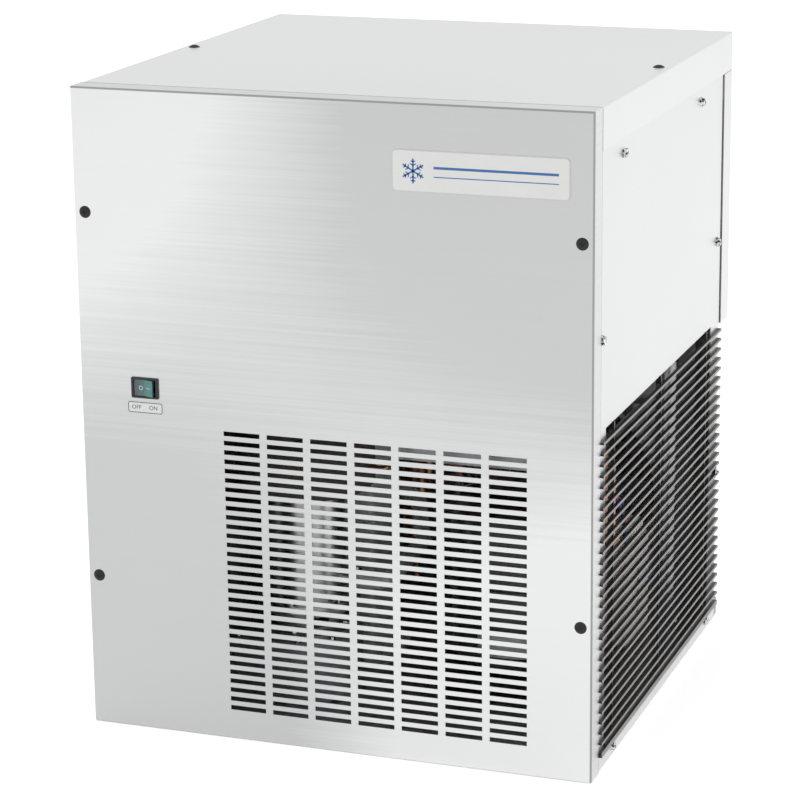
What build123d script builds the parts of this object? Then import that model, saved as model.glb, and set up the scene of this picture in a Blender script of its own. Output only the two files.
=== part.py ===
# Granular ice machine head, air cooled, in millimetres.
# +Z is up, the front faces -Y, and the origin is at the middle of the underside.
from build123d import *
import os
from math import cos, pi, radians, sin, tan

os.makedirs("parts", exist_ok=True)

# Cabinet envelope
width = 560.0
depth = 569.0
height = 695.0
sheet = 1.2
frame_sheet = 1.5
fold_radius = 2.0
fold_inner = fold_radius - sheet
rocker_proud = 4.4
side_x = width / 2
front_y = -(depth + rocker_proud) / 2 + rocker_proud
rear_y = front_y + depth

# Layers of sheet at the sides, from the outside in
panel_out = side_x - sheet
panel_in = panel_out - sheet
rail_in = panel_in - frame_sheet
post_in = rail_in - frame_sheet

# Stations behind the front face
front_flange = 27.3
cover_start = front_y + 27.8
bay_front = front_y + sheet + 0.2
bay_rear = front_y + 531.8
cover_flange_y = front_y + 533.0
panel_rear = front_y + 528.0
base_rear = front_y + 544.5

# Levels
floor_top = frame_sheet
upstand_top = 20.0
skirt_bottom = 651.5
rear_cover_bottom = 360.0
rail_bottom = 620.0
rail_top = height - sheet
clear_gap = 0.5

# Front panel: slots, switch and screws
slot_columns = 7
slot_rows = 31
slot_width = 40.2
slot_height = 5.0
slot_pitch_x = 48.25
slot_pitch_z = 10.1
slot_first_x = -98.5
slot_last_z = 35.4
switch_x = -206.3
switch_z = 380.4
bezel_width = 31.0
bezel_height = 22.4
bezel_proud = 1.8
switch_cut_width = 27.2
switch_cut_height = 20.2
rocker_width = 22.2
rocker_height = 17.4
rocker_tilt = 9.0
rocker_room = (1.3, 0.4)
rocker_well = 9.0
case_depth = 22.0
blade_offsets = (-7.0, 0.0, 7.0)
label_width = 40.5
label_height = 13.0
label_z = 358.9
badge_x = 163.3
badge_z = 627.2
badge_width = 184.4
badge_height = 42.4
badge_thick = 0.8
front_screw_x = 267.8
front_screw_levels = (168.0, 564.2)

rocker_pivot_depth = 3.4
rocker_pin = 1.2
cover_chamfer = 5.0
frame_chamfer = 1.0

# Bolt holes in the base for fixing the machine to an ice bin
fixing_x = 240.0
fixing_y = 215.0
fixing_radius = 4.5

# Side panel opening and louvre
opening_front = front_y + 49.6
opening_rear = front_y + 490.0
opening_bottom = 22.0
opening_top = 365.3
slat_count = 29
slat_first_z = 32.4
slat_pitch = 11.49
slat_edge = 2.8
slat_back = 2.2
slat_front = front_y + 29.0
slat_rear = front_y + 526.0
slat_outer_x = side_x + 3.0
rib_stations = (77.0, 264.0, 465.6)
rib_width = 3.0
rib_inner_x = 274.2
rib_lap = 1.5
louvre_bar = (17.4, 23.0)
louvre_lip_top = 26.0
hook_width = 18.0
hook_rise = 12.0
screw_room = 0.4

# Side, top and rear screws as (distance behind the front face, level)
upper_side_screws = ((109.7, 635.6), (429.0, 635.6), (514.0, 460.3), (33.1, 460.0))
lower_side_screws = ((79.5, 11.6), (482.1, 11.6))
louvre_side_screw = (512.5, 187.6)
top_screw_x = 267.0
top_screw_station = 287.0
screw_radius = 2.5
hex_head = 8.0
hex_height = 3.2
hex_shank = 4.2
pan_head = 6.5
pan_rise = 2.6
pan_shank = 4.4
washer_radius = 5.6
washer_height = 1.0

# Ice barrel stands on the gearbox
barrel_x = -95.0
barrel_y = front_y + 168.0
barrel_bottom = 105.0
barrel_top = 455.0
barrel_bore = 40.0
barrel_wall = 3.0
jacket_bottom = 247.0
jacket_top = 425.0
jacket_radius = 52.0
jacket_wall = 2.0
insulation_bottom = 238.0
insulation_top = 436.0
insulation_radius = 76.0
auger_clearance = 0.4
auger_core = 20.0
flight_pitch = 44.0
flight_thick = 4.0
flight_turns = 6.0
flight_bottom = 135.0
shaft_radius = 10.0
running_gap = 0.05
barrel_floor = 118.0
seal_radius = 22.0
feed_z = 132.0
stub_radius = 7.0
jacket_in_z = 262.0
jacket_out_z = 410.0
jacket_stub = 82.0
coupling_z = 92.0
coupling_length = 12.0
tang_radius = 7.0
bearing_radius = 19.0
bearing_height = 10.0
bearing_recess = 1.5
head_bearing_z = 480.0
head_hub_radius = 24.0

# Gear train in the gearbox: motor pinion, middle gear, output gear
first_module = 1.5
second_module = 2.0
motor_teeth = 12
middle_wheel_teeth = 66
middle_pinion_teeth = 12
output_teeth = 50
addendum = 0.85
dedendum = 1.2
flank_angle = 20.0
backlash = 0.3
centre_gap = 0.15
first_distance = first_module * (motor_teeth + middle_wheel_teeth) / 2 + centre_gap
second_distance = second_module * (middle_pinion_teeth + output_teeth) / 2 + centre_gap
middle_x = barrel_x - second_distance
motor_x = middle_x - first_distance
box_bottom = 4.0
box_floor = 10.0
box_rim = 62.0
lid_top = 72.0
mesh_turn_motor = 180 / motor_teeth
mesh_turn_output = 180 / output_teeth
first_gear_z = (14.0, 28.0)
second_gear_z = (34.0, 54.0)
journal_radius = 6.0
output_journal = 9.0
motor_radius = 51.0
motor_top = 206.0
rotor_radius = 28.0
stator_bore = 28.6

# Ice head, spout and chute
head_top = 497.0
head_radius = 55.0
spout_floor_top = 500.0
spout_top = 572.0
spout_wall = 3.0
spout_half = 62.0
chute_y = barrel_y + 124.0
chute_half_x = 45.0
chute_half_y = 38.0
chute_wall = 2.5
chute_bottom = 0.5
outlet_rim = 6.0
chute_collar = 14.0
collar_thick = 3.0

# Compressor
comp_x = 130.0
comp_y = front_y + 251.0
comp_radius = 82.0
comp_bottom = 34.0
comp_top = 232.0
comp_foot_half = 92.0
comp_plate_z = (24.0, 28.0)
mount_offset = 76.0
mount_radius = 13.0
terminal_x = 252.0
terminal_z = (60.0, 172.0)
suction_in_z = 190.0
discharge_x = 60.0
discharge_z = 150.0

# Condenser and fan
cond_x = 110.0
cond_width = 262.0
cond_bottom = 26.0
cond_top = 322.0
cond_front = front_y + 462.0
cond_rear = front_y + 518.0
fin_count = 33
fin_thick = 1.0
flat_tube_rows = 11
flat_tube_thick = 3.0
header_radius = 9.0
header_lap = 1.5
header_in_z = 302.0
header_out_z = 46.0
fan_z = 174.0
fan_radius = 112.0
fan_blades = 5
ring_radius = 118.0
shroud_front = front_y + 436.0
hub_radius = 28.0
fan_motor_rear = front_y + 430.0
fan_motor_front = front_y + 366.0
fan_motor_radius = 38.0
fan_shaft = 4.0
fan_bush = 5.0
drier_place = (-60.0, front_y + 424.0)
drier_z = (96.0, 200.0)
valve_place = (30.0, front_y + 220.0, 290.0)
suction_run_y = front_y + 190.0
suction_top = 292.0

# Rear panel air slots and connections
rear_slot_columns = 5
rear_slot_rows = 25
rear_slot_first_x = 13.5
rear_slot_last_z = 50.0
rear_panel_top = 372.0
inlet_x = -225.0
inlet_z = 130.0
inlet_radius = 13.2
drain_x = -170.0
drain_z = 60.0
drain_radius = 8.0
drain_length = 26.0
inlet_length = 18.0
neck_length = 1.5
inlet_neck = 12.0
drain_neck = 7.4
gland_x = -75.0
gland_z = 245.0
gland_thread = 8.0
reset_x = -75.0
reset_z = 310.0
reset_radius = 8.0
button_radius = 4.0

# Float tank on the left wall
tank_x = (-268.0, -184.0)
tank_y = (front_y + 404.0, front_y + 500.0)
tank_z = (342.0, 430.0)
tank_wall = 2.5
float_pivot_y = tank_y[0] + 16.0
float_pivot_z = tank_z[1] - 16.0
float_x = -208.0
tank_out = (-245.0, front_y + 440.0)
tank_over = (-245.0, front_y + 480.0)
fill_x = -248.0
fill_y = front_y + 424.0

# Control box at the upper right
ebox_x = (64.0, 254.0)
ebox_ear = (400.0, 540.0)
ebox_y = (front_y + 21.0, front_y + 130.0)
ebox_z = (322.0, 560.0)
ebox_sheet = 1.5
grommet_radius = 9.0
grommet_x = (120.0, 200.0)
wire_entry_y = ebox_y[0] + 40.0
side_entries = ((78.0, 410.0), (56.0, 440.0))
side_entry_radius = 5.0

# Pipes and hoses
suction_radius = 6.4
discharge_radius = 4.0
liquid_radius = 3.2
hose_radius = 7.0
wire_radius = 1.6


def block(x0, x1, y0, y1, z0, z1):
    return Pos((x0 + x1) / 2, (y0 + y1) / 2, (z0 + z1) / 2) * Box(x1 - x0, y1 - y0, z1 - z0)


def upright(x, y, z0, z1, radius):
    return Pos(x, y, (z0 + z1) / 2) * Cylinder(radius, z1 - z0)


def along_y(x, z, y0, y1, radius):
    return Pos(x, (y0 + y1) / 2, z) * Rot(90, 0, 0) * Cylinder(radius, y1 - y0)


def along_x(y, z, x0, x1, radius):
    return Pos((x0 + x1) / 2, y, z) * Rot(0, 90, 0) * Cylinder(radius, x1 - x0)


def rounded_plate(x_size, z_size, corner, y0, y1, x, z):
    plate = Pos(x, (y0 + y1) / 2, z) * Box(x_size, y1 - y0, z_size)
    return fillet(plate.edges().filter_by(Axis.Y), corner)


def stadium(x0, x1, y, radius, z0, z1):
    ends = upright(x0, y, z0, z1, radius) + upright(x1, y, z0, z1, radius)
    return ends + block(x0, x1, y - radius, y + radius, z0, z1)


def pipe(points, bend, radius, wall=0.0):
    path = FilletPolyline(*points, radius=bend)
    start = Plane(origin=path @ 0, z_dir=path % 0)
    outer = sweep(start * Circle(radius), path=path)
    if not wall:
        return outer
    return outer - sweep(start * Circle(radius - wall), path=path)


# Sheet-metal cabinet

def base_pan():
    half = panel_in
    pan = block(-half, half, bay_front, base_rear, 0, upstand_top)
    pan -= block(
        -half + frame_sheet, half - frame_sheet,
        bay_front + frame_sheet, base_rear - frame_sheet, floor_top, upstand_top,
    )
    outlet = block(
        barrel_x - chute_half_x - outlet_rim, barrel_x + chute_half_x + outlet_rim,
        chute_y - chute_half_y - outlet_rim, chute_y + chute_half_y + outlet_rim, 0, floor_top,
    )
    pan -= fillet(outlet.edges().filter_by(Axis.Z), 6.0)
    for x in (-fixing_x, fixing_x):
        for y in (-fixing_y, fixing_y):
            pan -= upright(x, y, 0, floor_top, fixing_radius)
    for station, level in lower_side_screws:
        for side in (-1, 1):
            pan -= along_x(front_y + station, level, side * half - 2, side * half + 2, screw_radius)
    return pan


def corner_posts(at_front):
    """A left and a right L-section post whose long legs lie along the sides."""
    long_leg = 41.0
    short_leg = 25.0
    if at_front:
        y0, y1 = bay_front + frame_sheet, bay_front + frame_sheet + long_leg
        cross = (y0, y0 + frame_sheet)
    else:
        y0, y1 = bay_rear - long_leg, bay_rear
        cross = (y1 - frame_sheet, y1)
    top = rail_top - frame_sheet
    leg = block(post_in, rail_in, y0, y1, floor_top, top)
    leg += block(rail_in - short_leg, rail_in, *cross, floor_top, top)
    if at_front:
        for level in front_screw_levels:
            leg -= along_y(front_screw_x, level, y0 - 1, y0 + 2, screw_radius)
    else:
        for x, level in rear_screw_places():
            leg -= along_y(x, level, y1 - 2, y1 + 1, screw_radius)
    for station, level in upper_side_screws + (louvre_side_screw,):
        if y0 < front_y + station < y1 and level < rail_bottom:
            leg -= along_x(front_y + station, level, post_in - 1, rail_in + 1, screw_radius)
    return Compound(children=[leg, mirror(leg, about=Plane.YZ)])


def top_frame():
    outer = block(-panel_in, panel_in, bay_front, cover_flange_y, rail_bottom, rail_top)
    front_edge = outer.edges().filter_by(Axis.X).group_by(Axis.Y)[0].sort_by(Axis.Z)[-1:]
    outer = chamfer(front_edge, frame_chamfer)
    outer -= block(
        -rail_in, rail_in, bay_front + frame_sheet, bay_rear, rail_bottom, rail_top - frame_sheet,
    )
    rim = 26.0
    outer -= block(
        -panel_in + rim, panel_in - rim, bay_front + rim, cover_flange_y - rim,
        rail_bottom, rail_top,
    )
    for side in (-1, 1):
        for station, level in upper_side_screws:
            if level > rail_bottom:
                outer -= along_x(
                    front_y + station, level, side * panel_in - 2, side * panel_in + 2, screw_radius,
                )
        outer -= upright(
            side * top_screw_x, front_y + top_screw_station, rail_top - 2, rail_top, screw_radius,
        )
    return outer


def front_slots():
    slots = []
    for column in range(slot_columns):
        for row in range(slot_rows):
            x = slot_first_x + column * slot_pitch_x
            z = slot_last_z + row * slot_pitch_z
            slots.append(Pos(x, front_y + sheet / 2, z) * Box(slot_width, 2 * sheet, slot_height))
    return slots


def front_panel():
    panel = block(-side_x, side_x, front_y, front_y + front_flange, 1, height)
    upright_edges = panel.edges().filter_by(Axis.Z).group_by(Axis.Y)[0]
    top_edge = panel.edges().filter_by(Axis.X).group_by(Axis.Y)[0].sort_by(Axis.Z)[-1:]
    panel = fillet(upright_edges + top_edge, fold_radius)
    hollow = block(-panel_out, panel_out, front_y + sheet, front_y + front_flange, 1, rail_top)
    upright_edges = hollow.edges().filter_by(Axis.Z).group_by(Axis.Y)[0]
    top_edge = hollow.edges().filter_by(Axis.X).group_by(Axis.Y)[0].sort_by(Axis.Z)[-1:]
    panel -= fillet(upright_edges + top_edge, fold_inner)
    panel -= front_slots()
    panel -= block(
        switch_x - switch_cut_width / 2, switch_x + switch_cut_width / 2, front_y - 1,
        front_y + 2 * sheet, switch_z - switch_cut_height / 2, switch_z + switch_cut_height / 2,
    )
    for side in (-1, 1):
        for level in front_screw_levels:
            panel -= along_y(side * front_screw_x, level, front_y - 1, front_y + 3, screw_radius)
    return panel


def top_cover():
    cover = block(-side_x, side_x, cover_start, rear_y, skirt_bottom, height)
    top_edges = cover.edges().group_by(Axis.Z)[-1]
    side_edges = top_edges.filter_by(Axis.Y)
    rear_edge = top_edges.filter_by(Axis.X).sort_by(Axis.Y)[-1:]
    corner_edges = cover.edges().filter_by(Axis.Z).group_by(Axis.Y)[-1]
    cover = fillet(side_edges + rear_edge + corner_edges, fold_radius)
    hollow = block(-panel_out, panel_out, cover_start, rear_y - sheet, skirt_bottom, rail_top)
    top_edges = hollow.edges().group_by(Axis.Z)[-1]
    side_edges = top_edges.filter_by(Axis.Y)
    rear_edge = top_edges.filter_by(Axis.X).sort_by(Axis.Y)[-1:]
    corner_edges = hollow.edges().filter_by(Axis.Z).group_by(Axis.Y)[-1]
    cover -= fillet(side_edges + rear_edge + corner_edges, fold_inner)
    for side in (-1, 1):
        cover -= upright(
            side * top_screw_x, front_y + top_screw_station, rail_top - 1, height + 1, screw_radius,
        )
    return cover


def side_panel(side, with_opening):
    y0 = cover_start
    panel = block(panel_in, panel_out, y0, panel_rear, 1, skirt_bottom + 38)
    if with_opening:
        opening = block(
            panel_in, panel_out, opening_front, opening_rear, opening_bottom, opening_top,
        )
        panel -= opening
    for station, level in upper_side_screws + lower_side_screws + (louvre_side_screw,):
        panel -= along_x(front_y + station, level, panel_in - 1, panel_out + 1, screw_radius)
    return panel if side > 0 else mirror(panel, about=Plane.YZ)


def slat(level):
    """A bar on the panel's face, level on top, its underside rising inwards."""
    top = level + slat_edge / 2
    section = make_face(Plane.XZ * Polyline(
        (slat_outer_x, top), (panel_out, top), (panel_out, top - slat_back),
        (slat_outer_x, top - slat_edge), close=True,
    ))
    return Pos(0, slat_front, 0) * extrude(section, amount=-(slat_rear - slat_front))


def side_louvre():
    """One moulding: slats and a bottom bar outside the panel, ribs and hooks inside it."""
    grille = block(panel_out, slat_outer_x, slat_front, slat_rear, *louvre_bar)
    for number in range(slat_count):
        grille += slat(slat_first_z + number * slat_pitch)
    station, level = louvre_side_screw
    grille -= along_x(
        front_y + station, level, panel_out, slat_outer_x, washer_radius + screw_room,
    )
    grille += block(
        rib_inner_x, panel_out + rib_lap, opening_front + clear_gap, opening_rear - clear_gap,
        opening_bottom + clear_gap, louvre_lip_top,
    )
    for station in rib_stations:
        y = front_y + station
        grille += block(
            rib_inner_x, panel_out + rib_lap, y - rib_width / 2, y + rib_width / 2,
            opening_bottom + clear_gap, opening_top - clear_gap,
        )
        grille += block(
            rib_inner_x, panel_in, y - hook_width / 2, y + hook_width / 2,
            opening_top - clear_gap, opening_top + hook_rise,
        )
    return grille


def rear_panel():
    y0, y1 = bay_rear, cover_flange_y
    panel = block(-rail_in, rail_in, y0, y1, floor_top, rear_panel_top)
    slots = []
    for column in range(rear_slot_columns):
        for row in range(rear_slot_rows):
            x = rear_slot_first_x + column * slot_pitch_x
            z = rear_slot_last_z + row * slot_pitch_z
            slots.append(Pos(x, (y0 + y1) / 2, z) * Box(slot_width, 2 * sheet, slot_height))
    panel -= slots
    holes = (
        (inlet_x, inlet_z, inlet_radius + clear_gap),
        (drain_x, drain_z, drain_radius + clear_gap),
        (gland_x, gland_z, gland_thread + clear_gap),
        (reset_x, reset_z, reset_radius + clear_gap),
    )
    for x, z, radius in holes:
        panel -= along_y(x, z, y0 - 1, y1 + 1, radius)
    for x, z in rear_screw_places():
        panel -= along_y(x, z, y0 - 1, y1 + 1, screw_radius)
    return panel


def rear_screw_places():
    places = [(side * 262.5, level) for side in (-1, 1) for level in (80.0, 200.0, 320.0)]
    return places + [(x, rear_cover_bottom - 10) for x in (-190.0, 0.0, 190.0)]


def rear_cover():
    cover = block(-side_x, side_x, cover_flange_y, rear_y, rear_cover_bottom, skirt_bottom - clear_gap)
    lower_edge = cover.edges().filter_by(Axis.X).group_by(Axis.Z)[0].sort_by(Axis.Y)[-1:]
    cover = chamfer(lower_edge, cover_chamfer)
    corner_edges = cover.edges().filter_by(Axis.Z).group_by(Axis.Y)[-1]
    cover = fillet(corner_edges, fold_radius)
    hollow = block(
        -panel_out, panel_out, cover_flange_y, rear_y - sheet,
        rear_cover_bottom + sheet, skirt_bottom - clear_gap,
    )
    lower_edge = hollow.edges().filter_by(Axis.X).group_by(Axis.Z)[0].sort_by(Axis.Y)[-1:]
    hollow = chamfer(lower_edge, cover_chamfer)
    corner_edges = hollow.edges().filter_by(Axis.Z).group_by(Axis.Y)[-1]
    cover -= fillet(corner_edges, fold_inner)
    lip = 16.0
    for side in (-1, 1):
        x0, x1 = sorted((side * (panel_out - lip), side * panel_out))
        cover += block(
            x0, x1, cover_flange_y, cover_flange_y + sheet,
            rear_cover_bottom + sheet, skirt_bottom - clear_gap,
        )
    tab = block(
        -rail_in, rail_in, cover_flange_y, cover_flange_y + sheet,
        rear_cover_bottom - 20, rear_cover_bottom,
    )
    for x, z in rear_screw_places():
        if z > rear_cover_bottom - 20:
            tab -= along_y(x, z, cover_flange_y - 1, cover_flange_y + 2, screw_radius)
    return cover + tab


# Fasteners, each a screw with a washer face under its head

def hex_screw(length):
    """Points along +Z out of the hole, with the washer's underside at zero."""
    head = extrude(RegularPolygon(hex_head / 2, 6, major_radius=False), hex_height)
    head = Pos(0, 0, washer_height) * head
    head = chamfer(head.edges().group_by(Axis.Z)[-1], 0.5)
    screw = head + Pos(0, 0, washer_height / 2) * Cylinder(washer_radius, washer_height)
    top = washer_height + hex_height
    for angle in (0, 90):
        cross = Pos(0, 0, top - 0.5) * Rot(0, 0, angle) * Box(4.4, 0.9, 1.0)
        screw -= cross
    return screw + Pos(0, 0, -length / 2) * Cylinder(screw_radius, length)


def pan_screw(radius, rise, length):
    """A domed round head on a shank, its underside at zero."""
    dome_radius = (radius**2 + rise**2) / (2 * rise)
    dome = Pos(0, 0, rise - dome_radius) * Sphere(dome_radius)
    dome &= Pos(0, 0, rise / 2) * Cylinder(radius, rise)
    for angle in (0, 90):
        dome -= Pos(0, 0, rise - 0.4) * Rot(0, 0, angle) * Box(radius, 1.2, 1.0)
    return dome + Pos(0, 0, -length / 2) * Cylinder(screw_radius, length)


def black_screws():
    """Four in the front panel and two in the top cover."""
    screw = pan_screw(pan_head, pan_rise, pan_shank)
    made = [
        Pos(side * front_screw_x, front_y, level) * Rot(90, 0, 0) * screw
        for side in (-1, 1) for level in front_screw_levels
    ]
    y = front_y + top_screw_station
    made += [Pos(side * top_screw_x, y, height) * screw for side in (-1, 1)]
    return Compound(children=made)


def hex_screws():
    """Both side panels, the rear panel and the rear cover's tab."""
    screw = hex_screw(hex_shank)
    places = upper_side_screws + lower_side_screws + (louvre_side_screw,)
    made = []
    for side in (-1, 1):
        for station, level in places:
            turn = Rot(0, side * 90, 0) * Rot(0, 0, station)
            made.append(Pos(side * panel_out, front_y + station, level) * turn * screw)
    for x, z in rear_screw_places():
        seat = cover_flange_y + (sheet if z > rear_cover_bottom - 20 else 0)
        made.append(Pos(x, seat, z) * Rot(-90, 0, 0) * screw)
    return Compound(children=made)


# Front fittings

def badge_plate():
    return rounded_plate(
        badge_width, badge_height, 5.0, front_y - badge_thick, front_y, badge_x, badge_z,
    )


def switch_label():
    return rounded_plate(
        label_width, label_height, 3.0, front_y - 0.3, front_y, switch_x - 0.5, label_z,
    )


def switch_body():
    flange = rounded_plate(
        bezel_width, bezel_height, 1.5, front_y - bezel_proud, front_y, switch_x, switch_z,
    )
    outer_edges = flange.edges().group_by(Axis.Y)[0]
    flange = chamfer(outer_edges, 0.5)
    case_half_x = switch_cut_width / 2
    case_half_z = switch_cut_height / 2
    body = flange + block(
        switch_x - case_half_x, switch_x + case_half_x, front_y, front_y + case_depth,
        switch_z - case_half_z, switch_z + case_half_z,
    )
    well_x = rocker_width / 2 + rocker_room[0]
    well_z = rocker_height / 2 + rocker_room[1]
    body -= block(
        switch_x - well_x, switch_x + well_x, front_y - bezel_proud - 1, front_y + rocker_well,
        switch_z - well_z, switch_z + well_z,
    )
    for x in blade_offsets:
        body += Pos(switch_x + x, front_y + case_depth + 5, switch_z) * Box(0.8, 10, 6.3)
    return body + upright(
        switch_x, front_y + rocker_pivot_depth, switch_z - well_z, switch_z + well_z,
        rocker_pin - running_gap,
    )


def switch_rocker():
    """A shallow-V rocker on an upright pin, resting with its left half pressed in."""
    half = rocker_width / 2
    tilt = radians(rocker_tilt)
    rise = half * tan(tilt)
    crown = (rocker_pivot_depth + rocker_proud - half * sin(tilt)) / cos(tilt) - rise
    section = make_face(Polyline(
        (-half, -crown - rise), (0, -crown), (half, -crown - rise),
        (half - 1.2, -1.0), (3.2, 2.6), (-3.2, 2.6), (1.2 - half, -1.0), close=True,
    ))
    rocker = Pos(0, 0, -rocker_height / 2) * extrude(section, rocker_height)
    rocker -= Cylinder(rocker_pin, rocker_height + 1)
    place = Pos(switch_x, front_y + rocker_pivot_depth, switch_z)
    return place * Rot(0, 0, -rocker_tilt) * rocker


# Ice making: gearbox, motor, barrel, auger, head and chute

def gear(teeth, module, z0, z1):
    """A spur gear about the origin with straight-sided teeth and some backlash."""
    pitch_radius = teeth * module / 2
    root, tip = pitch_radius - dedendum * module, pitch_radius + addendum * module
    step = 2 * pi / teeth
    half = step / 4 - backlash / (2 * pitch_radius)
    slope = tan(radians(flank_angle)) * module / pitch_radius
    outline = []
    for tooth in range(teeth):
        middle = tooth * step
        for radius, offset in (
            (root, -half - dedendum * slope), (tip, -half + addendum * slope),
            (tip, half - addendum * slope), (root, half + dedendum * slope),
        ):
            angle = middle + offset
            outline.append((radius * cos(angle), radius * sin(angle)))
    face = make_face(Polyline(*outline, close=True))
    return Pos(0, 0, z0) * extrude(face, z1 - z0)


def gearbox_housing():
    left, right = motor_x, barrel_x
    shell = stadium(left, right, barrel_y, 60.0, box_bottom, box_rim)
    cavity = stadium(middle_x, barrel_x, barrel_y, 54.5, box_floor, box_rim)
    cavity += stadium(motor_x, middle_x, barrel_y, 14.0, box_floor, box_rim)
    shell -= cavity
    for x, radius in ((motor_x, journal_radius), (middle_x, journal_radius), (barrel_x, output_journal)):
        shell -= upright(x, barrel_y, box_floor - 4, box_floor, radius + running_gap)
    for x in (left + 8, right + 34):
        for side in (-1, 1):
            shell += upright(x, barrel_y + side * 46, floor_top, box_bottom, 9.0)
    return shell


def gearbox_lid():
    lid = stadium(motor_x, barrel_x, barrel_y, 60.0, box_rim, lid_top)
    lid = chamfer(lid.edges().group_by(Axis.Z)[-1], 1.5)
    lid -= upright(motor_x, barrel_y, box_rim, lid_top, journal_radius + running_gap)
    lid -= upright(middle_x, barrel_y, box_rim, box_rim + 5, journal_radius + running_gap)
    lid -= upright(barrel_x, barrel_y, box_rim, lid_top, bearing_radius)
    return lid


def shaft_bearings():
    """One in the gearbox lid and one in the ice head, of one size."""
    made = []
    for z0 in (box_rim, head_bearing_z):
        z1 = z0 + bearing_height
        ring = upright(barrel_x, barrel_y, z0, z1, bearing_radius)
        ring -= upright(barrel_x, barrel_y, z0, z1, shaft_radius + running_gap)
        middle = (bearing_radius + shaft_radius) / 2
        for low in (z0, z1 - bearing_recess):
            race = upright(barrel_x, barrel_y, low, low + bearing_recess, middle + 1.8)
            race -= upright(barrel_x, barrel_y, low, low + bearing_recess, middle - 1.8)
            ring -= race
        made.append(ring)
    return Compound(children=made)


def motor_rotor():
    rotor = Pos(motor_x, barrel_y, 0) * Rot(0, 0, mesh_turn_motor) * gear(
        motor_teeth, first_module, *first_gear_z,
    )
    rotor += upright(motor_x, barrel_y, box_floor - 3.5, first_gear_z[0], journal_radius)
    rotor += upright(motor_x, barrel_y, first_gear_z[1], motor_top - 14, journal_radius)
    return rotor + upright(motor_x, barrel_y, 102, 176, rotor_radius)


def middle_gear():
    cluster = gear(middle_wheel_teeth, first_module, *first_gear_z)
    cluster += gear(middle_pinion_teeth, second_module, *second_gear_z)
    cluster = Pos(middle_x, barrel_y, 0) * cluster
    cluster += upright(middle_x, barrel_y, first_gear_z[1], second_gear_z[0], 10.0)
    cluster += upright(middle_x, barrel_y, box_floor - 3.5, first_gear_z[0], journal_radius)
    return cluster + upright(middle_x, barrel_y, second_gear_z[1], box_rim + 4.5, journal_radius)


def output_gear():
    wheel = Pos(barrel_x, barrel_y, 0) * Rot(0, 0, mesh_turn_output) * gear(
        output_teeth, second_module, *second_gear_z,
    )
    for angle in range(0, 360, 60):
        place = Pos(barrel_x, barrel_y, 0) * Rot(0, 0, angle) * Pos(29, 0, sum(second_gear_z) / 2)
        wheel -= place * Cylinder(9.0, 30)
    wheel += upright(barrel_x, barrel_y, box_floor - 3.5, second_gear_z[0], output_journal)
    wheel += upright(barrel_x, barrel_y, second_gear_z[1], coupling_z, shaft_radius)
    return wheel + hex_tang(coupling_z, coupling_z + coupling_length)


def hex_tang(z0, z1):
    shape = extrude(RegularPolygon(tang_radius, 6), z1 - z0)
    return Pos(barrel_x, barrel_y, z0) * shape


def drive_motor():
    shell = upright(motor_x, barrel_y, lid_top, motor_top, motor_radius)
    shell = chamfer(shell.edges().group_by(Axis.Z)[-1], 5.0)
    fins = 18
    for number in range(fins):
        angle = number * 360 / fins
        groove = Pos(motor_radius, 0, (lid_top + motor_top) / 2) * Box(6, 5, motor_top - lid_top - 40)
        shell -= Pos(motor_x, barrel_y, 0) * Rot(0, 0, angle) * groove
    shell -= upright(motor_x, barrel_y, lid_top + 26, 180, stator_bore)
    shell -= upright(motor_x, barrel_y, lid_top, motor_top - 12, journal_radius + running_gap)
    terminal = block(
        motor_x - 22, motor_x + 22, barrel_y - motor_radius - 12, barrel_y - motor_radius + 6, 120, 165,
    )
    return shell + fillet(terminal.edges().filter_by(Axis.Y), 4.0)


def drive_adapter():
    ring = upright(barrel_x, barrel_y, lid_top, lid_top + 6, 52.0)
    ring += upright(barrel_x, barrel_y, lid_top + 6, barrel_bottom - 6, 36.0)
    ring += upright(barrel_x, barrel_y, barrel_bottom - 6, barrel_bottom, 52.0)
    ring -= upright(barrel_x, barrel_y, lid_top, barrel_bottom, 27.0)
    for angle in (45, 135, 225, 315):
        window = Rot(0, 0, angle) * Pos(36, 0, (lid_top + barrel_bottom) / 2) * Box(24, 18, 14)
        ring -= Pos(barrel_x, barrel_y, 0) * window
    return ring


def barrel():
    outer = barrel_bore + barrel_wall
    body = upright(barrel_x, barrel_y, barrel_bottom, barrel_top, outer)
    body += upright(barrel_x, barrel_y, barrel_bottom, barrel_bottom + 8, 58.0)
    body += upright(barrel_x, barrel_y, barrel_top - 8, barrel_top, 55.0)
    body += along_x(barrel_y, feed_z, barrel_x, barrel_x + outer + 22, stub_radius)
    body -= upright(barrel_x, barrel_y, barrel_floor, barrel_top, barrel_bore)
    body -= upright(barrel_x, barrel_y, barrel_bottom, barrel_floor, seal_radius)
    body -= along_x(barrel_y, feed_z, barrel_x, barrel_x + outer + 23, stub_radius - 2)
    return body


def shaft_seal():
    seal = upright(barrel_x, barrel_y, barrel_bottom, barrel_floor, seal_radius)
    return seal - upright(barrel_x, barrel_y, barrel_bottom, barrel_floor, shaft_radius + running_gap)


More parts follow.
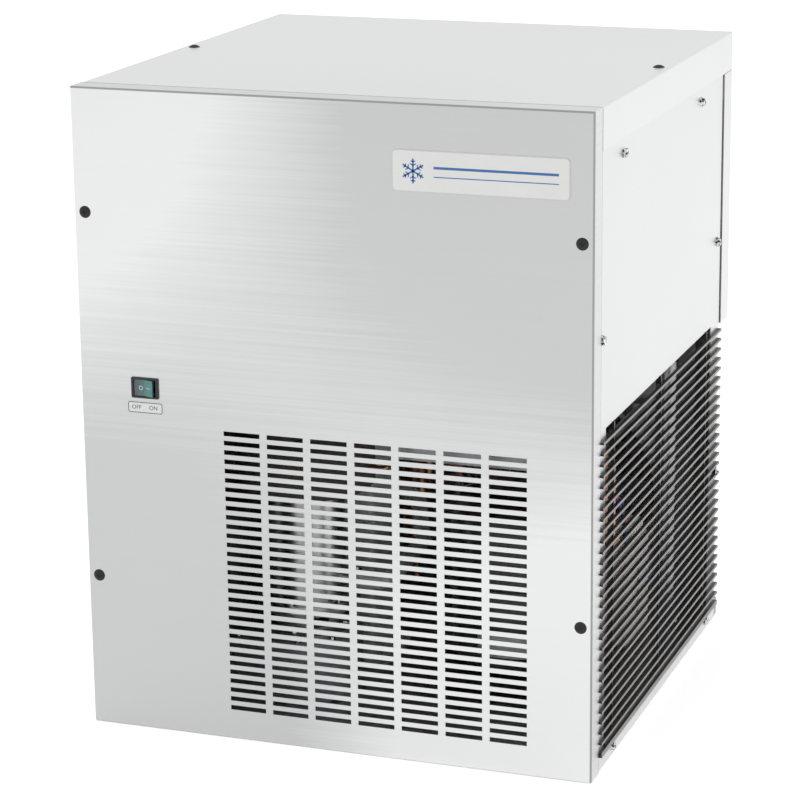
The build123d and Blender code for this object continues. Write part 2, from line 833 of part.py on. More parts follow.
def auger():
    reach = barrel_bore - auger_clearance
    climb = flight_pitch * flight_turns
    path = Helix(pitch=flight_pitch, height=climb, radius=(reach + auger_core) / 2)
    web = Plane(origin=path @ 0, x_dir=(1, 0, 0), z_dir=path % 0)
    flight = sweep(web * Rectangle(reach - auger_core + 2, flight_thick), path=path, is_frenet=True)
    trim = Pos(0, 0, climb / 2) * Cylinder(reach, climb + 40)
    flight = flight & trim
    core_bottom = barrel_floor + 1
    core = Pos(0, 0, (core_bottom + barrel_top - 6) / 2) * Cylinder(auger_core, barrel_top - 6 - core_bottom)
    body = core + Pos(0, 0, flight_bottom) * flight
    body += Pos(0, 0, (barrel_top - 6 + head_top - 4) / 2) * Cylinder(
        shaft_radius, head_top - 4 - barrel_top + 6,
    )
    body = Pos(barrel_x, barrel_y, 0) * body
    body += upright(barrel_x, barrel_y, coupling_z, core_bottom, shaft_radius)
    return body - hex_tang(coupling_z, coupling_z + coupling_length)


def evaporator_jacket():
    jacket = upright(barrel_x, barrel_y, jacket_bottom, jacket_top, jacket_radius)
    jacket -= upright(
        barrel_x, barrel_y, jacket_bottom + jacket_wall, jacket_top - jacket_wall,
        jacket_radius - jacket_wall,
    )
    low = Pos(barrel_x, barrel_y, jacket_in_z) * Rot(0, 90, 0) * Cylinder(4.0, 2 * jacket_stub)
    high = Pos(barrel_x, barrel_y, jacket_out_z) * Rot(0, 90, 0) * Cylinder(8.0, 2 * jacket_stub)
    right = block(barrel_x, barrel_x + jacket_stub, barrel_y - 20, barrel_y + 20, jacket_bottom, jacket_top)
    stubs = (low + high) & right
    bores = Pos(barrel_x, barrel_y, jacket_in_z) * Rot(0, 90, 0) * Cylinder(liquid_radius, 2 * jacket_stub)
    bores += Pos(barrel_x, barrel_y, jacket_out_z) * Rot(0, 90, 0) * Cylinder(
        suction_radius, 2 * jacket_stub,
    )
    jacket = jacket + stubs
    jacket -= bores & right
    return jacket - upright(
        barrel_x, barrel_y, jacket_bottom, jacket_top, barrel_bore + barrel_wall,
    )


def barrel_insulation():
    foam = upright(barrel_x, barrel_y, insulation_bottom, insulation_top, insulation_radius)
    foam = chamfer(foam.edges().group_by(Axis.Z)[-1] + foam.edges().group_by(Axis.Z)[0], 4.0)
    foam -= upright(barrel_x, barrel_y, insulation_bottom, insulation_top, barrel_bore + barrel_wall)
    foam -= upright(barrel_x, barrel_y, jacket_bottom, jacket_top, jacket_radius)
    for level, radius in ((jacket_in_z, 4.0), (jacket_out_z, 8.0)):
        foam -= along_x(barrel_y, level, barrel_x + 45, barrel_x + insulation_radius + 1, radius)
    return foam


def ice_head():
    """The breaker head: a ring with four ribs that carry the upper bearing."""
    head = upright(barrel_x, barrel_y, barrel_top, head_top, head_radius)
    head = chamfer(head.edges().group_by(Axis.Z)[-1], 2.0)
    head -= upright(barrel_x, barrel_y, barrel_top, head_top, barrel_bore)
    hub = upright(barrel_x, barrel_y, barrel_top + 2, head_top, head_hub_radius)
    for angle in range(0, 360, 90):
        rib = Rot(0, 0, angle + 45) * Pos(31, 0, 0) * Box(22, 5, head_top - barrel_top - 2)
        hub += Pos(barrel_x, barrel_y, (barrel_top + 2 + head_top) / 2) * rib
    hub -= upright(barrel_x, barrel_y, barrel_top + 2, head_top, shaft_radius + clear_gap)
    hub -= upright(barrel_x, barrel_y, head_bearing_z, head_top, bearing_radius)
    return head + hub


def ice_spout():
    y1 = chute_y + chute_half_y + 12
    spout = block(
        barrel_x - spout_half, barrel_x + spout_half, barrel_y - spout_half, y1,
        head_top, spout_top,
    )
    spout = fillet(spout.edges().filter_by(Axis.Z), 12.0)
    spout = fillet(spout.edges().group_by(Axis.Z)[-1], 6.0)
    hollow = block(
        barrel_x - spout_half + spout_wall, barrel_x + spout_half - spout_wall,
        barrel_y - spout_half + spout_wall, y1 - spout_wall, spout_floor_top, spout_top - spout_wall,
    )
    hollow = fillet(hollow.edges().filter_by(Axis.Z), 9.0)
    spout -= hollow
    spout -= upright(barrel_x, barrel_y, head_top, spout_floor_top, barrel_bore + 4)
    return spout - block(
        barrel_x - chute_half_x + chute_wall, barrel_x + chute_half_x - chute_wall,
        chute_y - chute_half_y + chute_wall, chute_y + chute_half_y - chute_wall,
        head_top, spout_floor_top,
    )


def ice_chute():
    chute = block(
        barrel_x - chute_half_x, barrel_x + chute_half_x,
        chute_y - chute_half_y, chute_y + chute_half_y, chute_bottom, head_top,
    )
    chute = fillet(chute.edges().filter_by(Axis.Z), 6.0)
    collar = block(
        barrel_x - chute_half_x - chute_collar, barrel_x + chute_half_x + chute_collar,
        chute_y - chute_half_y - chute_collar, chute_y + chute_half_y + chute_collar,
        floor_top, floor_top + collar_thick,
    )
    chute += fillet(collar.edges().filter_by(Axis.Z), 8.0)
    bore = block(
        barrel_x - chute_half_x + chute_wall, barrel_x + chute_half_x - chute_wall,
        chute_y - chute_half_y + chute_wall, chute_y + chute_half_y - chute_wall,
        chute_bottom, head_top,
    )
    return chute - fillet(bore.edges().filter_by(Axis.Z), 4.0)


# Refrigeration

def compressor():
    shell = upright(comp_x, comp_y, comp_bottom, comp_top, comp_radius)
    shell = fillet(shell.edges().group_by(Axis.Z)[-1], 40.0)
    shell = fillet(shell.edges().group_by(Axis.Z)[0], 18.0)
    band_z = comp_bottom + 96
    shell += upright(comp_x, comp_y, band_z, band_z + 5, comp_radius + 3)
    plate = block(
        comp_x - comp_foot_half, comp_x + comp_foot_half,
        comp_y - comp_foot_half, comp_y + comp_foot_half, *comp_plate_z,
    )
    plate = fillet(plate.edges().filter_by(Axis.Z), 16.0)
    for sx in (-1, 1):
        for sy in (-1, 1):
            plate -= upright(
                comp_x + sx * mount_offset, comp_y + sy * mount_offset, *comp_plate_z, 8.0,
            )
    shell += plate + upright(comp_x, comp_y, comp_plate_z[1], comp_bottom + 6, 50.0)
    shell += along_x(comp_y - 30, suction_in_z, comp_x + 40, comp_x + 100, suction_radius + 1.6)
    shell -= along_x(comp_y - 30, suction_in_z, comp_x + 88, comp_x + 101, suction_radius)
    shell += along_y(discharge_x, discharge_z, comp_y, comp_y + 92, discharge_radius + 1.4)
    return shell - along_y(discharge_x, discharge_z, comp_y + 80, comp_y + 93, discharge_radius)


def compressor_mounts():
    made = []
    for sx in (-1, 1):
        for sy in (-1, 1):
            x, y = comp_x + sx * mount_offset, comp_y + sy * mount_offset
            mount = upright(x, y, floor_top, comp_plate_z[0], mount_radius)
            waist_z = (floor_top + comp_plate_z[0]) / 2
            ring = upright(x, y, waist_z - 3, waist_z + 3, mount_radius)
            ring -= upright(x, y, waist_z - 3, waist_z + 3, mount_radius - 3)
            mount -= ring
            mount += upright(x, y, comp_plate_z[0], comp_plate_z[1], 8.0)
            mount += upright(x, y, comp_plate_z[1], comp_plate_z[1] + 4, mount_radius - 2)
            made.append(mount)
    return Compound(children=made)


def terminal_cover():
    cover = block(comp_x + 60, terminal_x, comp_y - 16, comp_y + 76, *terminal_z)
    cover = fillet(cover.edges().filter_by(Axis.X), 8.0)
    cover = fillet(cover.edges().group_by(Axis.X)[-1], 5.0)
    cover -= upright(comp_x, comp_y, 60, 190, comp_radius + 3)
    clip = block(terminal_x - 10, terminal_x + 2.5, comp_y + 24, comp_y + 38, 84, 148)
    return cover + fillet(clip.edges().group_by(Axis.X)[-1], 1.0)


def condenser():
    half = cond_width / 2
    x0, x1 = cond_x - half, cond_x + half
    y0, y1 = cond_front, cond_rear
    middle = (y0 + y1) / 2
    inner = half - 2 * header_radius + header_lap
    core = block(cond_x - inner, cond_x + inner, y0, y1, cond_top - 4, cond_top)
    core += block(cond_x - inner, cond_x + inner, y0, y1, cond_bottom, cond_bottom + 4)
    tubes = []
    pitch = (cond_top - cond_bottom - 8) / (flat_tube_rows + 1)
    for row in range(flat_tube_rows):
        z = cond_bottom + 4 + (row + 1) * pitch
        tubes.append(Pos(cond_x, middle, z) * Box(2 * inner + 8, y1 - y0 - 12, flat_tube_thick))
    fins = []
    spacing = (2 * inner - fin_thick) / (fin_count - 1)
    for number in range(fin_count):
        x = cond_x - inner + fin_thick / 2 + number * spacing
        fins.append(Pos(x, middle, (cond_bottom + cond_top) / 2) * Box(
            fin_thick, y1 - y0, cond_top - cond_bottom - 8,
        ))
    core = core.fuse(*tubes, *fins)
    for x in (x0 + header_radius, x1 - header_radius):
        core += upright(x, middle, cond_bottom, cond_top, header_radius)
        core += block(x - header_radius, x + header_radius, middle - 5, middle + 5, floor_top, cond_bottom)
    core += along_y(x0 + header_radius, header_in_z, y0 - 18, middle, discharge_radius + 1.4)
    core -= along_y(x0 + header_radius, header_in_z, y0 - 19, middle - 4, discharge_radius)
    core += along_y(x0 + header_radius, header_out_z, y0 - 18, middle, liquid_radius + 1.4)
    return core - along_y(x0 + header_radius, header_out_z, y0 - 19, middle - 4, liquid_radius)


def fan_shroud():
    """A plate against the condenser with a flared ring, and four welded strips for the motor."""
    half_x = cond_width / 2 - 2 * header_radius
    plate = block(
        cond_x - half_x, cond_x + half_x, cond_front - sheet, cond_front, cond_bottom, cond_top,
    )
    plate += along_y(cond_x, fan_z, shroud_front, cond_front - sheet, ring_radius + 1.5)
    plate += along_y(cond_x, fan_z, shroud_front, shroud_front + 2, ring_radius + 6)
    plate -= along_y(cond_x, fan_z, shroud_front - 1, cond_front + 1, ring_radius)
    for sx in (-1, 1):
        for sz in (-1, 1):
            plate += block(
                *sorted((cond_x + sx * 92, cond_x + sx * 108)), shroud_front + 2, cond_front - sheet,
                *sorted((fan_z + sz * 92, fan_z + sz * 108)),
            )
    strip_y = (shroud_front - 2.5, shroud_front)
    spider = along_y(cond_x, fan_z, fan_motor_rear - 8, shroud_front, 24.0)
    for angle in (45, 135, 225, 315):
        strip = Pos(80, 0, 0) * Box(124, 12, strip_y[1] - strip_y[0])
        spider += Pos(cond_x, sum(strip_y) / 2, fan_z) * Rot(90, 0, 0) * Rot(0, 0, angle) * strip
    plate += spider
    for sx in (-1, 1):
        for sz in (-1, 1):
            plate += block(
                *sorted((cond_x + sx * 92, cond_x + sx * 108)), shroud_front, shroud_front + 2,
                *sorted((fan_z + sz * 92, fan_z + sz * 108)),
            )
    return plate - along_y(cond_x, fan_z, fan_motor_rear - 9, shroud_front + 1, fan_bush)


def fan_motor():
    motor = along_y(cond_x, fan_z, fan_motor_front, fan_motor_rear - 8, fan_motor_radius)
    motor = fillet(motor.edges().group_by(Axis.Y)[0], 10.0)
    core = Pos(cond_x, fan_motor_rear - 26, fan_z) * Box(84, 18, 84)
    motor += fillet(core.edges().filter_by(Axis.Y), 12.0)
    motor -= along_y(cond_x, fan_z, fan_motor_rear - 30, fan_motor_rear, fan_shaft + running_gap)
    return motor


def fan_blade():
    y0 = shroud_front + 2
    hub = along_y(cond_x, fan_z, y0, y0 + 18, hub_radius)
    hub = fillet(hub.edges().group_by(Axis.Y)[-1], 4.0)
    pitch_angle = 26.0
    reach = fan_radius - hub_radius + 4
    for number in range(fan_blades):
        blade = Box(reach, 46, 2.0)
        blade = fillet(blade.edges().filter_by(Axis.Z).group_by(Axis.X)[-1], 18.0)
        blade = Pos(hub_radius - 4 + reach / 2, 0, 0) * Rot(pitch_angle, 0, 0) * blade
        turned = Rot(90, 0, 0) * Rot(0, 0, number * 360 / fan_blades) * blade
        hub += Pos(cond_x, y0 + 9, fan_z) * turned
    limit = along_y(cond_x, fan_z, y0 - 12, y0 + 30, fan_radius)
    hub &= limit
    return hub + along_y(cond_x, fan_z, fan_motor_rear - 28, y0, fan_shaft)


def filter_drier():
    x, y = drier_place
    body = upright(x, y, drier_z[0], drier_z[1], 16.0)
    body = chamfer(body.edges().group_by(Axis.Z)[-1] + body.edges().group_by(Axis.Z)[0], 8.0)
    for z0, z1 in ((drier_z[0] - 12, drier_z[0] + 2), (drier_z[1] - 2, drier_z[1] + 12)):
        body += upright(x, y, z0, z1, liquid_radius + 1.4)
    body -= upright(x, y, drier_z[0] - 13, drier_z[0] - 1, liquid_radius)
    return body - upright(x, y, drier_z[1] + 1, drier_z[1] + 13, liquid_radius)


def expansion_valve():
    x, y, z = valve_place
    body = Pos(x, y, z) * Box(26, 24, 26)
    body += upright(x, y, z + 13, z + 30, 17.0)
    body = body + upright(x, y, z + 30, z + 36, 12.0)
    body += along_x(y, z, x - 24, x - 13, liquid_radius + 1.4)
    body -= along_x(y, z, x - 25, x - 12, liquid_radius)
    body += upright(x, y, z - 24, z - 13, liquid_radius + 1.4)
    return body - upright(x, y, z - 25, z - 12, liquid_radius)


def discharge_line():
    z_top = 262.0
    start = (discharge_x, comp_y + 80, discharge_z)
    left = cond_x - cond_width / 2 + header_radius
    y_run = comp_y + 118
    points = [
        start, (discharge_x, y_run, discharge_z), (discharge_x, y_run, z_top),
        (left, y_run, z_top), (left, y_run, header_in_z), (left, (cond_front + cond_rear) / 2 - 4, header_in_z),
    ]
    return pipe(points, 14.0, discharge_radius, 1.0)


def liquid_line():
    """Three runs: condenser to drier, drier to expansion valve, valve to jacket."""
    left = cond_x - cond_width / 2 + header_radius
    x, y = drier_place
    first = pipe([
        (left, (cond_front + cond_rear) / 2 - 4, header_out_z), (left, y, header_out_z),
        (x, y, header_out_z), (x, y, drier_z[0] - 1),
    ], 8.0, liquid_radius, 0.8)
    vx, vy, vz = valve_place
    second = pipe([
        (x, y, drier_z[1] + 1), (x, y, drier_z[1] + 36), (vx, y, drier_z[1] + 36),
        (vx, vy, drier_z[1] + 36), (vx, vy, vz - 12),
    ], 8.0, liquid_radius, 0.8)
    third = pipe([
        (vx - 12, vy, vz), (vx - 34, vy, vz), (vx - 34, vy, jacket_in_z),
        (vx - 34, barrel_y, jacket_in_z), (barrel_x + 51, barrel_y, jacket_in_z),
    ], 6.0, liquid_radius, 0.8)
    return Compound(children=[first, second, third])


def suction_line():
    x_turn = 244.0
    points = [
        (barrel_x + 51, barrel_y, jacket_out_z), (0, barrel_y, jacket_out_z),
        (0, suction_run_y, jacket_out_z), (0, suction_run_y, suction_top),
        (x_turn, suction_run_y, suction_top), (x_turn, suction_run_y, suction_in_z),
        (x_turn, comp_y - 30, suction_in_z), (comp_x + 88, comp_y - 30, suction_in_z),
    ]
    return pipe(points, 12.0, suction_radius, 1.0)


def pressure_switch():
    y1 = bay_rear
    case = Pos(reset_x, y1 - 19, reset_z) * Box(44, 38, 40)
    case = fillet(case.edges().filter_by(Axis.Y), 5.0)
    case += along_y(reset_x, reset_z, y1, cover_flange_y + 3, reset_radius)
    case -= along_y(reset_x, reset_z, y1 - 10, cover_flange_y + 4, button_radius + 0.3)
    case += upright(reset_x, y1 - 22, reset_z - 36, reset_z - 20, 9.0)
    return case


def reset_button():
    y0 = bay_rear - 6
    button = along_y(reset_x, reset_z, y0, cover_flange_y + 6, button_radius)
    return fillet(button.edges().group_by(Axis.Y)[-1], 1.0)


# Water side

def float_tank():
    tank = block(*tank_x, *tank_y, *tank_z)
    tank = fillet(tank.edges().filter_by(Axis.Z), 6.0)
    hollow = block(
        tank_x[0] + tank_wall, tank_x[1] - tank_wall, tank_y[0] + tank_wall, tank_y[1] - tank_wall,
        tank_z[0] + tank_wall, tank_z[1],
    )
    tank -= fillet(hollow.edges().filter_by(Axis.Z), 4.0)
    tank += upright(*tank_out, tank_z[0] - 16, tank_z[0], stub_radius)
    tank -= upright(*tank_out, tank_z[0] - 17, tank_z[0] + 4, stub_radius - 2)
    tank += upright(*tank_over, tank_z[0] - 16, tank_z[0] + 66, drain_radius)
    tank -= upright(*tank_over, tank_z[0] - 17, tank_z[0] + 67, drain_radius - 2)
    for side in (-1, 1):
        ear_x = float_x + side * 8
        tank += block(
            ear_x - 1.5, ear_x + 1.5, tank_y[0] + tank_wall, float_pivot_y + 5,
            float_pivot_z - 5, float_pivot_z + 5,
        )
    tank += along_x(float_pivot_y, float_pivot_z, float_x - 8, float_x + 8, 2.0)
    hook = block(-panel_in, tank_x[0], tank_y[0] + 20, tank_y[1] - 20, tank_z[0] + 30, tank_z[0] + 60)
    return tank + hook


def tank_lid():
    lid = block(
        tank_x[0] - 2, tank_x[1] + 2, tank_y[0] - 2, tank_y[1] + 2, tank_z[1], tank_z[1] + 4,
    )
    lid = fillet(lid.edges().filter_by(Axis.Z), 7.0)
    lid = chamfer(lid.edges().group_by(Axis.Z)[-1], 1.0)
    return lid - upright(fill_x, fill_y, tank_z[1] - 1, tank_z[1] + 5, hose_radius + clear_gap)


def float_lever():
    """Float block on a lever that swings on the tank's pin, shown at its low stop."""
    sleeve = along_x(float_pivot_y, float_pivot_z, float_x - 6, float_x + 6, 4.0)
    lever = block(
        float_x - 2, float_x + 2, float_pivot_y, tank_y[1] - 40, float_pivot_z - 2, float_pivot_z + 2,
    )
    block_y = (tank_y[1] - 56, tank_y[1] - 22)
    body = block(float_x - 15, float_x + 15, *block_y, float_pivot_z - 26, float_pivot_z - 2)
    body = fillet(body.edges(), 3.0)
    swing = sleeve + lever + body
    return swing - along_x(float_pivot_y, float_pivot_z, float_x - 8, float_x + 8, 2.0 + running_gap)


def water_inlet():
    y0, y1 = bay_rear, cover_flange_y
    valve = Pos(inlet_x, y0 - 26, inlet_z) * Box(34, 44, 34)
    valve = fillet(valve.edges().filter_by(Axis.Y), 4.0)
    valve += along_y(inlet_x, inlet_z, y0 - 4, y0, 18.0)
    thread_start = y1 + neck_length
    valve += along_y(inlet_x, inlet_z, y0, thread_start, inlet_neck)
    valve += along_y(inlet_x, inlet_z, thread_start, thread_start + inlet_length, inlet_radius)
    valve -= along_y(inlet_x, inlet_z, thread_start, thread_start + inlet_length, inlet_radius - 4)
    coil = upright(inlet_x, y0 - 30, inlet_z + 17, inlet_z + 48, 15.0)
    valve += coil
    valve += along_y(inlet_x, inlet_z, y0 - 62, y0 - 48, hose_radius - 2)
    return valve


def drain_spigot():
    y0, y1 = bay_rear, cover_flange_y
    pin_start = y1 + neck_length
    pin_end = pin_start + drain_length
    spigot = along_y(drain_x, drain_z, y0 - 22, y0 - 4, drain_radius)
    spigot += along_y(drain_x, drain_z, y0 - 4, y0, 16.0)
    spigot += along_y(drain_x, drain_z, y0, pin_start, drain_neck)
    spigot += along_y(drain_x, drain_z, pin_start, pin_end, drain_radius)
    return spigot - along_y(drain_x, drain_z, y0 - 23, pin_end + 1, drain_radius - 2)


def supply_hose():
    y = bay_rear - 158
    points = [
        (inlet_x, bay_rear - 48, inlet_z), (inlet_x, bay_rear - 96, inlet_z),
        (fill_x, y + 8, inlet_z + 44), (fill_x, y, 400), (fill_x, y + 6, 466),
        (fill_x, fill_y, 476), (fill_x, fill_y, 412),
    ]
    return pipe(points, 16.0, hose_radius, 2.0)


def feed_hose():
    x, y = tank_out
    barrel_end = barrel_x + barrel_bore + barrel_wall
    points = [
        (x, y, tank_z[0] - 4), (x, y, 270), (-150, y - 56, 214), (-34, front_y + 362, 168),
        (-6, front_y + 300, 140), (-4, barrel_y + 34, feed_z), (-6, barrel_y, feed_z),
        (barrel_end + 8, barrel_y, feed_z),
    ]
    return pipe(points, 14.0, stub_radius + 2.0, 2.0)


def drain_hose():
    x, y = tank_over
    points = [
        (x, y, tank_z[0] - 4), (x, y, 290), (-186, y - 18, 200), (drain_x, y - 24, 110),
        (drain_x, y - 8, drain_z), (drain_x, bay_rear - 10, drain_z),
    ]
    return pipe(points, 16.0, drain_radius + 2.0, 2.0)


# Electrical side

def control_box():
    box = block(*ebox_x, *ebox_y, *ebox_z)
    box -= block(
        ebox_x[0] + ebox_sheet, ebox_x[1] - ebox_sheet, ebox_y[0], ebox_y[1] - ebox_sheet,
        ebox_z[0] + ebox_sheet, ebox_z[1] - ebox_sheet,
    )
    for x in grommet_x:
        box -= upright(x, wire_entry_y, ebox_z[0] - 1, ebox_z[0] + 3, grommet_radius)
    for station, level in side_entries:
        box -= along_x(
            front_y + station, level, ebox_x[0] - 1, ebox_x[0] + ebox_sheet + 1, side_entry_radius,
        )
    ear_y = ebox_y[0] + 8
    return box + block(ebox_x[1], post_in, ear_y, ear_y + ebox_sheet, *ebox_ear)


def box_cover():
    cover = block(*ebox_x, ebox_y[0] - ebox_sheet, ebox_y[0], *ebox_z)
    for z in (400.0, 430.0, 460.0, 490.0):
        cover -= Pos(170, ebox_y[0] - ebox_sheet / 2, z) * Box(90, 2 * ebox_sheet, 4)
    return cover


def contactor():
    y1 = ebox_y[1] - ebox_sheet
    body = block(90, 140, y1 - 58, y1, 440, 512)
    body = fillet(body.edges().filter_by(Axis.Y), 2.0)
    body -= block(98, 132, y1 - 59, y1 - 48, 462, 490)
    for x in (100.0, 115.0, 130.0):
        for z in (450.0, 502.0):
            body -= along_y(x, z, y1 - 59, y1 - 50, 4.0)
    return body


def cable_gland():
    y0, y1 = bay_rear, cover_flange_y
    gland = along_y(gland_x, gland_z, y0 - 14, y1, gland_thread)
    nut = extrude(RegularPolygon(15.0, 6), 6.0)
    gland += Pos(gland_x, y0, gland_z) * Rot(90, 0, 0) * nut
    outer_nut = extrude(RegularPolygon(14.0, 6), 12.0)
    gland += Pos(gland_x, y1, gland_z) * Rot(-90, 0, 0) * outer_nut
    dome = along_y(gland_x, gland_z, y1 + 12, y1 + 20, 11.0)
    gland += fillet(dome.edges().group_by(Axis.Y)[-1], 3.0)
    return gland - along_y(gland_x, gland_z, y0 - 15, y1 + 21, 6.0)


def wires():
    """Three from the compressor, then those of the gear motor, the switch and the fan."""
    made = []
    for number, lead in enumerate((0.0, 5.0, 10.0)):
        x, y = terminal_x - 10 - lead, comp_y + 10 + 2.6 * lead
        end_x = grommet_x[1] + 4.0 * (number - 1)
        made.append(pipe([
            (x, y, terminal_z[1]), (x, y, 200 + lead), (x - 6, y - 34 - lead, 244),
            (end_x + 6, wire_entry_y + 46, 276), (end_x, wire_entry_y, 292 - lead),
            (end_x, wire_entry_y, ebox_z[0] + 8),
        ], 8.0, wire_radius))
    left = ebox_x[0] + 6
    made.append(pipe([
        (motor_x, barrel_y - motor_radius - 4, 165), (motor_x, barrel_y - motor_radius - 4, 230),
        (motor_x + 20, front_y + 84, 330), (-60, front_y + 74, 408),
        (0, front_y + side_entries[0][0], side_entries[0][1]),
        (left, front_y + side_entries[0][0], side_entries[0][1]),
    ], 20.0, wire_radius + 1))
    made.append(pipe([
        (switch_x, front_y + 32, switch_z), (switch_x, front_y + 52, switch_z),
        (-150, front_y + 60, 430), (0, front_y + side_entries[1][0], side_entries[1][1]),
        (left, front_y + side_entries[1][0], side_entries[1][1]),
    ], 12.0, wire_radius))
    made.append(pipe([
        (cond_x + 26, fan_motor_rear - 26, fan_z + 42), (cond_x + 26, fan_motor_rear - 26, 250),
        (cond_x + 16, front_y + 320, 268), (grommet_x[0], front_y + 180, 266),
        (grommet_x[0], wire_entry_y, 284), (grommet_x[0], wire_entry_y, ebox_z[0] + 8),
    ], 14.0, wire_radius))
    return Compound(children=made)


pieces = {
    "base_pan": base_pan,
    "front_posts": lambda: corner_posts(True),
    "rear_posts": lambda: corner_posts(False),
    "top_frame": top_frame,
    "front_panel": front_panel,
    "top_cover": top_cover,
    "side_panel_left": lambda: side_panel(-1, False),
    "side_panel_right": lambda: side_panel(1, True),
    "side_louvre": side_louvre,
    "rear_panel": rear_panel,
    "rear_cover": rear_cover,
    "black_screws": black_screws,
    "hex_screws": hex_screws,
    "badge_plate": badge_plate,
    "switch_label": switch_label,
    "switch_body": switch_body,
    "switch_rocker": switch_rocker,
    "gearbox_housing": gearbox_housing,
    "gearbox_lid": gearbox_lid,
    "shaft_bearings": shaft_bearings,
    "motor_rotor": motor_rotor,
    "middle_gear": middle_gear,
    "output_gear": output_gear,
    "drive_motor": drive_motor,
    "drive_adapter": drive_adapter,
    "barrel": barrel,
    "shaft_seal": shaft_seal,
    "auger": auger,
    "evaporator_jacket": evaporator_jacket,
    "barrel_insulation": barrel_insulation,
    "ice_head": ice_head,
    "ice_spout": ice_spout,
    "ice_chute": ice_chute,
    "compressor": compressor,
    "compressor_mounts": compressor_mounts,
    "terminal_cover": terminal_cover,
    "condenser": condenser,
    "fan_shroud": fan_shroud,
    "fan_motor": fan_motor,
    "fan_blade": fan_blade,
    "filter_drier": filter_drier,
    "expansion_valve": expansion_valve,
    "discharge_line": discharge_line,
    "liquid_line": liquid_line,
    "suction_line": suction_line,
    "pressure_switch": pressure_switch,
    "reset_button": reset_button,
    "float_tank": float_tank,
    "tank_lid": tank_lid,
    "float_lever": float_lever,
    "water_inlet": water_inlet,
    "drain_spigot": drain_spigot,
    "supply_hose": supply_hose,
    "feed_hose": feed_hose,
    "drain_hose": drain_hose,
    "control_box": control_box,
    "box_cover": box_cover,
    "contactor": contactor,
    "cable_gland": cable_gland,
    "wires": wires,
}

for name, make in pieces.items():
    export_step(make(), f"parts/{name}.step")
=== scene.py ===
# Granular ice machine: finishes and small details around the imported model, in metres.
import math

import bmesh
import bpy
from mathutils import Matrix, Vector


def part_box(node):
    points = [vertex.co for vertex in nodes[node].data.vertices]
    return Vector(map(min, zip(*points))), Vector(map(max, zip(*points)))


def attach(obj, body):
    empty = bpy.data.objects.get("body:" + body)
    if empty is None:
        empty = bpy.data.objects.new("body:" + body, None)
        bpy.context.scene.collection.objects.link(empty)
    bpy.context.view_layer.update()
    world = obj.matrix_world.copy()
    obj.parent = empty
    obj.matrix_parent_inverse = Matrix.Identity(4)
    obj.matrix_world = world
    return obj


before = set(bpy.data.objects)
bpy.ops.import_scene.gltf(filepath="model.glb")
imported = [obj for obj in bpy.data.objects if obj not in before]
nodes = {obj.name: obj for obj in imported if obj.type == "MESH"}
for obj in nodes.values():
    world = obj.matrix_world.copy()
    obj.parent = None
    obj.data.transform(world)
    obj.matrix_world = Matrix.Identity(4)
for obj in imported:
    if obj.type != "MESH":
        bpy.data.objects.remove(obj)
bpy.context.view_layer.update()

scene = bpy.context.scene
print("frame loaded:", len(nodes), "CAD nodes")

# camera, floor and light

cameraView = {
    "place": (1.02683, -2.88992, 1.15782),
    "azimuth": 19.593, "elevation": 14.648, "roll": -0.562,  # degrees
    "lens": 128.115, "sensor": 36.0, "shift": (-0.025, -0.05), "far": 60.0,
}

studio = {
    "floorHalf": 14.0, "floorDrop": 0.0002, "floorColour": (0.86, 0.86, 0.86), "floorLift": 0.50,
    "floorRoughness": 0.9, "floorGloss": 0.1,
    "skyLight": 0.80, "skySeen": 1.0,
}

softboxes = [
    # name, place, aim, width, height, watts
    ("keyLeft", (-2.3, -2.6, 2.6), (0.0, 0.0, 0.35), 2.2, 1.8, 8.0),
    ("fillRight", (3.2, -1.2, 1.6), (0.1, 0.0, 0.30), 1.8, 2.0, 8.0),
    ("topSoft", (0.2, 0.4, 3.2), (0.0, 0.0, 0.60), 2.4, 2.4, 4.0),
    ("rearSoft", (2.3, 3.1, 1.9), (0.0, 0.0, 0.35), 2.0, 1.8, 5.0),
]


def turnedFrame(right, up, back):
    return Matrix((right, up, back)).transposed().to_4x4()


def makeCamera(look):
    azimuth, elevation = math.radians(look["azimuth"]), math.radians(look["elevation"])
    back = Vector((
        math.sin(azimuth) * math.cos(elevation), -math.cos(azimuth) * math.cos(elevation),
        math.sin(elevation),
    ))
    level = Vector((math.cos(azimuth), math.sin(azimuth), 0.0))
    above = back.cross(level)
    roll = math.radians(look["roll"])
    right = level * math.cos(roll) + above * math.sin(roll)
    up = above * math.cos(roll) - level * math.sin(roll)
    data = bpy.data.cameras.new("photoCamera")
    data.lens, data.sensor_width, data.clip_end = look["lens"], look["sensor"], look["far"]
    data.shift_x, data.shift_y = look["shift"]
    camera = bpy.data.objects.new("photoCamera", data)
    camera.matrix_world = Matrix.Translation(look["place"]) @ turnedFrame(right, up, back)
    scene.collection.objects.link(camera)
    scene.camera = camera


def makeSoftbox(name, place, aim, wide, tall, watts):
    lamp = bpy.data.lights.new(name, "AREA")
    lamp.shape, lamp.size, lamp.size_y, lamp.energy = "RECTANGLE", wide, tall, watts
    holder = bpy.data.objects.new(name, lamp)
    towards = (Vector(aim) - Vector(place)).to_track_quat("-Z", "Y").to_matrix().to_4x4()
    holder.matrix_world = Matrix.Translation(place) @ towards
    scene.collection.objects.link(holder)


# shader wiring: sockets that take part in ordinary arithmetic

